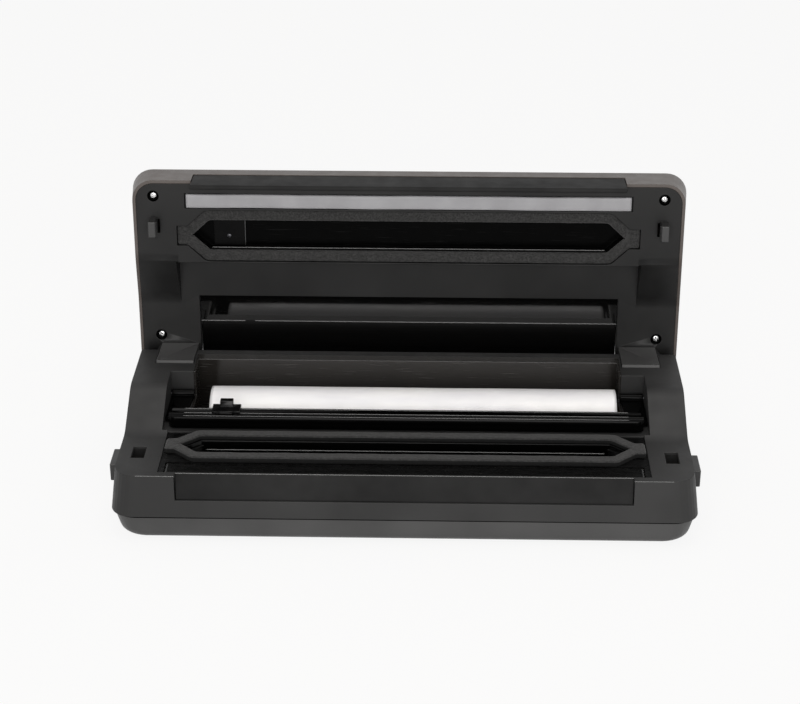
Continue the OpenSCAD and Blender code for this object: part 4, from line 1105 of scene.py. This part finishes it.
@dataclass(frozen=True)
class FilmRoll:
    """Bag film wound on its core: a spiral sheet whose turns show as rings on the ends.

    Radius is the outer one plus a slow wave along and round the roll, with a step where the
    film's free end lies on the turn below.
    """

    radius: float = 24.1
    bore: float = 19.1
    half_w: float = 139.9
    end_angle: float = 2.2
    film_step: float = 0.32
    turn_dip: float = 0.35

    def build(self) -> Piece:
        """Makes the roll.

        Returns:
            The dressed roll.
        """
        low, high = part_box("bag_roll")
        middle = [(a + b) / 2 / MM for a, b in zip(low, high)]
        x = np.linspace(-self.half_w, self.half_w, 120)
        angle = np.linspace(0, 2 * math.pi, 161)[:-1]
        step = ((angle - self.end_angle) % (2 * math.pi)) / (2 * math.pi)
        skin = (self.radius - self.film_step * step
                + 0.06 * np.sin(x / 13.0)[:, None] * np.cos(2 * angle + 0.6)
                - 0.05 * (1 + np.sin(x / 31.0 + 1.0))[:, None])
        share = np.linspace(1, 0, 14)[1:]
        turns = self.bore + (self.radius - 0.3 - self.bore) * share
        dip = np.where(np.arange(len(turns)) % 2 == 0, self.turn_dip, 0.0)
        end = np.broadcast_to(turns[:, None], (len(turns), len(angle)))
        along = np.concatenate([(x[0] + dip)[::-1], x, x[-1] - dip])[:, None]
        radius = np.concatenate([end[::-1], skin, end])
        whole = np.stack(np.broadcast_arrays(
            along, radius * np.cos(angle), radius * np.sin(angle)), -1) + middle
        faces = grid_faces(len(whole), len(angle), close_rows=True, close_columns=True)[:, ::-1]
        around = np.broadcast_to(angle * self.radius, whole.shape[:2])
        uv = np.stack([whole[..., 0], around], -1) * MM
        roll = mesh_object("film_roll", whole, faces, FILM, uv)
        tidy(roll)
        return dress(roll, "bag_roll", "bag_roll")


@dataclass(frozen=True)
class TiltedPane:
    """The smoked window pane, which slopes down to the front inside the lid's frame.

    A flat slab, with the height of its underside falling in a straight line with distance.
    """

    half_w: float = 148.1
    back: float = 6.1
    front: float = 51.7
    middle_h: float = 72.8
    slope: float = 6.5
    thickness: float = 2.0

    def underside(self, front: float) -> float:
        """Gives the height of the pane's underside at a distance from the hinge."""
        fall = math.tan(math.radians(self.slope))
        return self.middle_h - fall * (front - (self.back + self.front) / 2)

    def build(self) -> Piece:
        """Makes the pane.

        Returns:
            The dressed pane.
        """
        corners = [(f, self.underside(f)) for f in (self.back, self.front)]
        top = [(f, z + self.thickness) for f, z in corners[::-1]]
        ends = np.array([-self.half_w, self.half_w])
        pane = carried("smoked_pane", corners + top, ends, PANE, on_lid=True)
        return dress(pane, "lid_window", "lid_window")


@dataclass(frozen=True)
class GripRecess:
    """The sloping plate in the base's front recess and the lid's lip that shuts over it."""

    half_w: float = 148.0
    top: float = 49.1
    bottom: float = 31.45
    face: float = 137.15
    foot: float = 141.0
    lip_low: float = 40.0
    lip_high: float = 63.6
    lip_back: float = 138.0
    lip_front: float = 142.6
    rounding: float = 1.4

    def slope_at(self, height: float) -> float:
        """Gives the plate's distance from the hinge at a height."""
        return self.face + (self.foot - self.face) * (self.top - height) / (self.top - self.bottom)

    def build_plate(self) -> Piece:
        """Makes the plate: a wedge, thin at its top edge and flush with the wall at its foot.

        Returns:
            The dressed plate.
        """
        profile = [(self.face - 0.1, self.top), (self.face + 0.1, self.top),
                   (self.foot, self.bottom), (self.face - 0.1, self.bottom)]
        ends = np.array([-self.half_w - 0.5, self.half_w + 0.5])
        plate = carried("recess_plate", profile, ends, RECESS)
        break_edges(plate, 0.3)
        return dress(plate, "base_deck")

    def build_lip(self) -> Piece:
        """Makes the lip: its back follows the plate and its outer edge is a quarter round.

        Returns:
            The dressed lip.
        """
        turn = np.radians(np.linspace(270, 360, 7))
        edge = [(self.lip_front - self.rounding * (1 - c), self.lip_low + self.rounding * (1 + s))
                for c, s in zip(np.cos(turn), np.sin(turn))]
        back = [(self.lip_back, self.lip_high), (self.lip_back, self.top),
                (self.slope_at(self.lip_low) + 0.5, self.lip_low)]
        ends = np.array([-self.half_w, self.half_w])
        lip = carried("grip_lip", back + edge + [(self.lip_front, self.lip_high)], ends, GRIP,
                      on_lid=True)
        break_edges(lip, 0.5)
        return dress(lip, "lid_grip", "lid_grip")


@dataclass(frozen=True)
class SideParts:
    """The release buttons in the base's sides and the hooks of the lid beside them."""

    button_in: float = 187.3
    button_out: float = 194.5
    button_back: float = 96.95
    button_front: float = 117.85
    button_low: float = 31.55
    button_high: float = 43.95
    hook_in: float = 172.7
    hook_out: float = 177.4
    hook_back: float = 105.4
    hook_front: float = 116.6
    hook_tip: float = 38.3
    hook_root: float = 50.9
    barb: float = 1.2

    def build_button(self, side: int) -> Piece:
        """Makes the button of one side: a block with rolled edges.

        Args:
            side: -1 for the left one and 1 for the right one.

        Returns:
            The dressed button.
        """
        inner, outer = side * self.button_in, side * self.button_out
        profile = [(inner, self.button_low), (outer, self.button_low),
                   (outer, self.button_high), (inner, self.button_high)]
        node = "release_button_right" if side > 0 else "release_button_left"
        button = carried(node + "_cap", profile, np.array([self.button_back, self.button_front]),
                         SMALL_PARTS, along_front=True)
        break_edges(button, 0.7, segments=3)
        return dress(button, node, node)

    def build_hooks(self) -> Piece:
        """Makes both hooks as one piece: a post with a barb on its inner side.

        Returns:
            The dressed hooks.
        """
        barb, tip = self.hook_in - self.barb, self.hook_tip
        outline = [(self.hook_in, self.hook_root), (self.hook_in, tip + 2.4), (barb, tip + 2.2),
                   (barb, tip + 1.5), (self.hook_in, tip), (self.hook_out, tip),
                   (self.hook_out, self.hook_root)]
        line = np.array([self.hook_back, self.hook_front])
        pair = [carried(f"hook_{k}", [(sign * x, z) for x, z in outline], line, SMALL_PARTS,
                        on_lid=True, along_front=True) for k, sign in enumerate((-1, 1))]
        hooks = joined("lid_hooks", pair)
        break_edges(hooks, 0.45)
        return dress(hooks, "latch_hooks", "latch_hooks")


@dataclass(frozen=True)
class CrossHead:
    """A cross-recessed pan-head screw, seen from its head.

    The head is a disc whose rim falls by the fourth power of the radius. The recess is where the
    smaller of the two distances to the arms' middle lines is under the arms' half width, and it
    gets shallower towards the ends of the arms.
    """

    radius: float = 2.4
    height: float = 1.5
    arm: float = 0.62
    arm_w: float = 0.23
    depth: float = 0.85
    turn: float = 0.3

    def points(self, x: float, front: float, seat: float, up: float) -> np.ndarray:
        """Works out the head's grid of points.

        Args:
            x: Its place across.
            front: Its distance from the hinge.
            seat: Height of the face that it bears on.
            up: 1 where the head points up and -1 where it points down.

        Returns:
            Array of rings by spokes by 3: x, distance from the hinge and height.
        """
        share = np.concatenate([[1e-3], np.linspace(0.06, 1, 18), [1.0, 0.7, 1e-3]])[:, None]
        angle = np.linspace(0, 2 * math.pi, 72, endpoint=False) + self.turn
        u, v = np.abs(share * np.cos(angle)), np.abs(share * np.sin(angle))
        depth = (self.depth * np.clip((self.arm_w - np.minimum(u, v)) / 0.05, 0, 1)
                 * np.clip((self.arm - np.maximum(u, v)) / 0.12, 0, 1))
        z = 1 - 0.45 * share**4 - depth
        z[-3:] = 0.0
        u, v = share * np.cos(angle + self.turn), share * np.sin(angle + self.turn)
        return np.stack([x + u * self.radius, front + v * self.radius,
                         seat + up * z * self.height], -1)

    def build(self, name: str, node: str, spots: Sequence[Triple], up: float,
              finish: Finish, on_lid: bool) -> Piece:
        """Makes the heads of a node's screws as one piece.

        Args:
            name: Name of the piece.
            node: The CAD node that it stands for.
            spots: Place across, distance from the hinge and seat height of each screw.
            up: 1 where the heads point up and -1 where they point down.
            finish: The piece's finish.
            on_lid: Whether the places are given for the shut lid.

        Returns:
            The piece.
        """
        grids = [self.points(*spot, up) for spot in spots]
        rings, spokes = grids[0].shape[:2]
        one = grid_faces(rings, spokes, close_columns=True)
        faces = np.concatenate([one + k * rings * spokes for k in range(len(grids))])
        points = np.concatenate([g.reshape(-1, 3) for g in grids])
        head = mesh_object(name, raise_lid(points) if on_lid else place(points), faces, finish)
        tidy(head)
        head.data.set_sharp_from_angle(angle=math.radians(40))
        return dress(head, node, node)


@dataclass(frozen=True)
class TapeStrip:
    """The slick tape over the heating bar, which lies in slow shallow waves.

    Its section is a thin band whose edges turn down by the sixth power of the distance from its
    middle line.
    """

    half_w: float = 155.9
    middle: float = 128.75
    half_d: float = 6.2
    low: float = 47.92
    high: float = 48.2

    def build(self) -> Piece:
        """Makes the strip.

        Returns:
            The dressed strip.
        """
        x = np.linspace(-self.half_w, self.half_w, 220)
        across = np.concatenate([np.linspace(-1, 1, 17), np.linspace(1, -1, 3)])
        top = np.arange(len(across)) < 17
        wave = (0.05 * np.sin(x / 8.0)[:, None] * np.cos(across * 1.4)
                + 0.04 * np.sin(x / 3.1 + 1)[:, None])
        crown = np.where(top, self.high - 0.05 - 0.16 * np.abs(across) ** 6, self.low)
        z = crown + np.where(top, wave, 0.0)
        points = np.stack(np.broadcast_arrays(
            x[:, None], self.middle + self.half_d * across, z), -1)
        count = len(across)
        faces = grid_faces(len(x), count, close_columns=True).tolist()
        faces += [list(range(count)), list(range((len(x) - 1) * count, len(x) * count))]
        strip = mesh_object("slick_tape", place(points), faces, TAPE)
        tidy(strip)
        return dress(strip, "ptfe_tape", "ptfe_tape")


@dataclass(frozen=True)
class HighlightRods:
    """Glossy rods as painted highlights along edges of the tray, the lid's chamber, the rail, the
    deck and the valve's plate, one under the pane as a painted reflection, and the valve's plate
    itself.

    A rod has eight sides.
    """

    radius: float = 0.45
    fine: float = 0.7
    tray_edge_highlight: Pair = (94.3, 42.5)
    tray_half_w: float = 133.0
    chamber_edge_highlight: Pair = (92.5, 56.8)
    chamber_half_w: float = 136.0
    pane_reflection_f: float = 31.3
    pane_reflection_gap: Pair = (-116.5, -109.5)
    ridges: tuple[Pair, ...] = ((67.0, 58.9), (72.8, 58.75), (77.4, 58.9))
    ridge_half_w: float = 150.0
    deck_edge: Pair = (141.25, 48.95)
    deck_x: Pair = (148.7, 174.0)
    recess_edge: Pair = (137.2, 49.05)
    recess_half_w: float = 148.4
    plate_x: Pair = (-135.0, -113.2)
    plate_f: Pair = (92.7, 113.4)
    plate_h: Pair = (60.5, 61.9)

    def ring(self, first: float, height: float, scale: float = 1.0) -> list[Pair]:
        """Gives the corners of a rod's section, on a circle.

        Args:
            first: Its middle across the run.
            height: Its middle's height.
            scale: Its radius over the usual one.

        Returns:
            Eight corners.
        """
        turn = np.linspace(0, 2 * math.pi, 8, endpoint=False) + math.pi / 8
        r = self.radius * scale
        return [(first + r * c, height + r * s) for c, s in zip(np.cos(turn), np.sin(turn))]

    def rods(self, name: str, node: str, runs: Sequence[tuple[Pair, Pair]], scale: float = 1.0,
             **way: bool) -> None:
        """Makes ribs as one piece.

        Args:
            name: Name of the piece.
            node: The CAD node that carries it.
            runs: For each rod the place of its section and its two ends.
            scale: Its radius over the usual one.
            **way: Which way it runs, as carried takes it.
        """
        parts = [carried(f"rib_{k}", self.ring(*spot, scale), np.array(ends), HIGHLIGHT_ROD, **way)
                 for k, (spot, ends) in enumerate(runs)]
        dress(joined(name, parts), node)

    def build(self, pane: TiltedPane) -> None:
        """Makes the highlight rods and the valve's plate.

        Args:
            pane: The pane under which the rod of the painted reflection runs.
        """
        # Every rod is glossy and paler than the black around it: a painted highlight along an edge,
        # and under the pane a painted reflection.
        self.rods("tray_edge_highlight", "vacuum_tray", [(self.tray_edge_highlight, mirrored(self.tray_half_w))])
        self.rods("chamber_edge_highlight", "lid_frame", [(self.chamber_edge_highlight, mirrored(self.chamber_half_w))],
                  on_lid=True)
        spot = (self.pane_reflection_f, pane.underside(self.pane_reflection_f) - 0.1)
        self.rods("pane_reflection_rod", "lid_window", [(spot, (-pane.half_w, self.pane_reflection_gap[0])),
                                             (spot, (self.pane_reflection_gap[1], pane.half_w))],
                  1.3, on_lid=True)
        self.rods("rail_ridge_highlights", "cutter_rail",
                  [(spot, mirrored(self.ridge_half_w)) for spot in self.ridges], self.fine)
        near, far = self.deck_x
        self.rods("deck_edge_highlights", "base_deck",
                  [(self.deck_edge, (-far, -near)), (self.deck_edge, (near, far)),
                   (self.recess_edge, mirrored(self.recess_half_w))], self.fine)
        (x0, x1), (low, high) = self.plate_x, self.plate_h
        plate = carried("valve_plate", [(x0, low), (x1, low), (x1, high), (x0, high)],
                        np.array(self.plate_f), VALVE, on_lid=True, along_front=True)
        break_edges(plate, 0.2)
        dress(plate, "valve_cover", "valve_cover")
        self.rods("valve_plate_edge_highlight", "valve_cover", [((x1, low), self.plate_f)], self.fine,
                  on_lid=True, along_front=True)


@dataclass(frozen=True)
class TubForm:
    """The tub, whose walls lean in from the parting line and roll under in a quarter round."""

    line_h: float = 19.0
    base_h: float = 1.0
    cad_base_h: float = 1.8
    roll_top: float = 6.7
    shadow_h: float = 17.5
    foot_h: float = 5.0
    side: float = 188.4
    side_lean: float = 3.0
    side_under: float = 5.6
    front: float = 141.8
    front_lean: float = 0.2
    front_under: float = 9.3
    cad_h: Triple = (1.8, 7.98, 19.0)
    cad_side: Triple = (180.8, 187.4, 191.4)
    cad_front: Triple = (133.0, 139.8, 141.6)
    skin: Pair = (172.0, 122.0)
    cuts: tuple[float, ...] = (2.1, 2.5, 3.0, 3.6, 4.4, 5.4, 6.6, 8.0, 12.0)
    feet_out: float = 2.5

    def walls(self, height: np.ndarray) -> tuple[np.ndarray, np.ndarray]:
        """Works out the rolled form: a quarter round up to roll_top, then a straight lean.

        Args:
            height: Array of heights.

        Returns:
            The half width and the front at each height.
        """
        share = (height - self.base_h) / (self.roll_top - self.base_h)
        cosine = np.sqrt(np.clip(1 - (1 - share) ** 2, 0, 1))
        rising = np.clip((height - self.roll_top) / (self.line_h - self.roll_top), 0, 1)
        under = 1 - np.where(height < self.roll_top, cosine, 1.0)
        return (self.side + self.side_lean * rising - self.side_under * under,
                self.front - self.front_lean * rising - self.front_under * under)

    def change(self, points: np.ndarray) -> np.ndarray:
        """Moves the tub's outer skin from its plain form to the rolled one.

        Args:
            points: Array of n by 3: x, distance from the hinge and height.

        Returns:
            The moved points, in the same order.
        """
        x, f, z = points.T
        below = z < self.line_h - 0.02
        side, front = (np.interp(z, self.cad_h, wall) for wall in (self.cad_side, self.cad_front))
        drop = self.cad_base_h - self.base_h
        lower = z - drop * np.clip((self.foot_h - z) / (self.foot_h - self.cad_base_h), 0, 1)
        new_side, new_front = self.walls(lower)
        share_x = np.clip((np.abs(x) - self.skin[0]) / (side - self.skin[0]), 0, 1) * below
        share_f = np.clip((f - self.skin[1]) / (front - self.skin[1]), 0, 1) * below
        return np.stack([x + np.sign(x) * share_x * (new_side - side),
                         f + share_f * (new_front - front), np.where(below, lower, z)], -1)

    def move_feet(self, points: np.ndarray) -> np.ndarray:
        """Moves the feet out a little and makes them as low as the tub's clearance.

        Args:
            points: Array of n by 3: x, distance from the hinge and height.

        Returns:
            The moved points, in the same order.
        """
        shorter = points * [1, 1, self.base_h / self.cad_base_h]
        return shorter + np.sign(points) * [self.feet_out, 0, 0]

    def build(self) -> None:
        """Makes the tub and its feet."""
        # The tub's faces from this height up to the deck are painted near black: a painted shadow
        # under the deck's edge.
        moulded_copy("base_tub", TUB_LIT, cuts=(*self.cuts, self.shadow_h), change=self.change,
                     angle=25, regions=[Region((0, -30, self.shadow_h), (400, 400, 40), UNDER_DECK_SHADOW)])
        moulded_copy("feet", FEET, 0.3, change=self.move_feet)


@dataclass(frozen=True)
class CutterParts:
    """The cutter's rail and slider, slimmer and a little higher than their plain forms."""

    rail_low: float = 50.1
    rail_rise: float = 1.099
    ridge: float = 72.0
    ridge_share: float = 0.771
    body_top: float = 60.5
    body_rise: float = 0.8
    knob_h: float = 5.2
    lip: float = 75.1
    lip_share: float = 0.6

    def rail(self, points: np.ndarray) -> np.ndarray:
        """Draws the front ridge in and the ridges up.

        Args:
            points: Array of n by 3: x, distance from the hinge and height.

        Returns:
            The moved points, in the same order.
        """
        x, f, z = points.T
        drawn = np.where(f > self.ridge, self.ridge + (f - self.ridge) * self.ridge_share, f)
        return np.stack([x, drawn, self.rail_low + (z - self.rail_low) * self.rail_rise], -1)

    def slider(self, points: np.ndarray) -> np.ndarray:
        """Lifts the slider's body on the rail and draws its front lip in.

        Args:
            points: Array of n by 3: x, distance from the hinge and height.

        Returns:
            The moved points, in the same order.
        """
        x, f, z = points.T
        drawn = np.where(f > self.lip, self.lip + (f - self.lip) * self.lip_share, f)
        rise = self.body_rise * (1 - np.clip((z - self.body_top) / self.knob_h, 0, 1))
        return np.stack([x, drawn, z + rise], -1)

    def build(self) -> None:
        """Makes both pieces."""
        moulded_copy("cutter_rail", RAIL, change=self.rail,
                     regions=[Region((0, 77.6, 40), (400, 90, 56.5), RAIL_FRONT),
                              Region((0, 20, 40), (400, 62, 60), RAIL_FRONT)])
        moulded_copy("cutter_slider", SLIDER, 0.35, change=self.slider)


def paint_nodes() -> None:
    """Gives each node that stays its finish."""
    for name, node in frame["nodes"].items():
        node.data.materials.clear()
        node.data.materials.append(material_of(NODE_FINISH[name]))


def main() -> None:
    """Builds the scene."""
    Studio().build()
    paint_nodes()
    for node in COVERED[KEYS].split():
        moulded_copy(node, KEYS, KEY_RADIUS)
    moulded_copy("lid_frame", LID_INSIDE, angle=12, regions=LID_REGIONS)
    moulded_copy("vacuum_tray", TRAY, 0.35)
    TubForm().build()
    CutterParts().build()
    FoamRing("base_foam_ring", "base_gasket", side_finish=FOAM_SIDE_SHADE).build()
    FoamRing("lid_foam_ring", "lid_gasket", low=51.3, high=53.35, shut_high=53.35,
             on_lid=True).build()
    PressingStrip().build()
    TapeStrip().build()
    pane = TiltedPane()
    pane.build()
    HighlightRods().build(pane)
    GripRecess().build_plate()
    GripRecess().build_lip()
    for side in (-1, 1):
        SideParts().build_button(side)
    SideParts().build_hooks()
    lid_spots = [(sign * x, front, seat) for sign in (-1, 1)
                 for x, front, seat in ((174.6, 131.7, 52.2), (176.4, 21.5, 71.0))]
    CrossHead().build("lid_screw_heads", "lid_screws", lid_spots, -1, CHROME, True)
    tray_spots = [(sign * 142.2, 103.1, 45.6) for sign in (-1, 1)]
    small = CrossHead(radius=1.6, height=1.0)
    small.build("tray_screw_heads", "tray_screws", tray_spots, 1, CHROME, False)
    small.build("valve_screw_head", "valve_screw", [(-124.4, 99.8, 60.4)], -1, DARK_STEEL, True)
    FilmRoll().build()


if __name__ == "__main__":
    main()
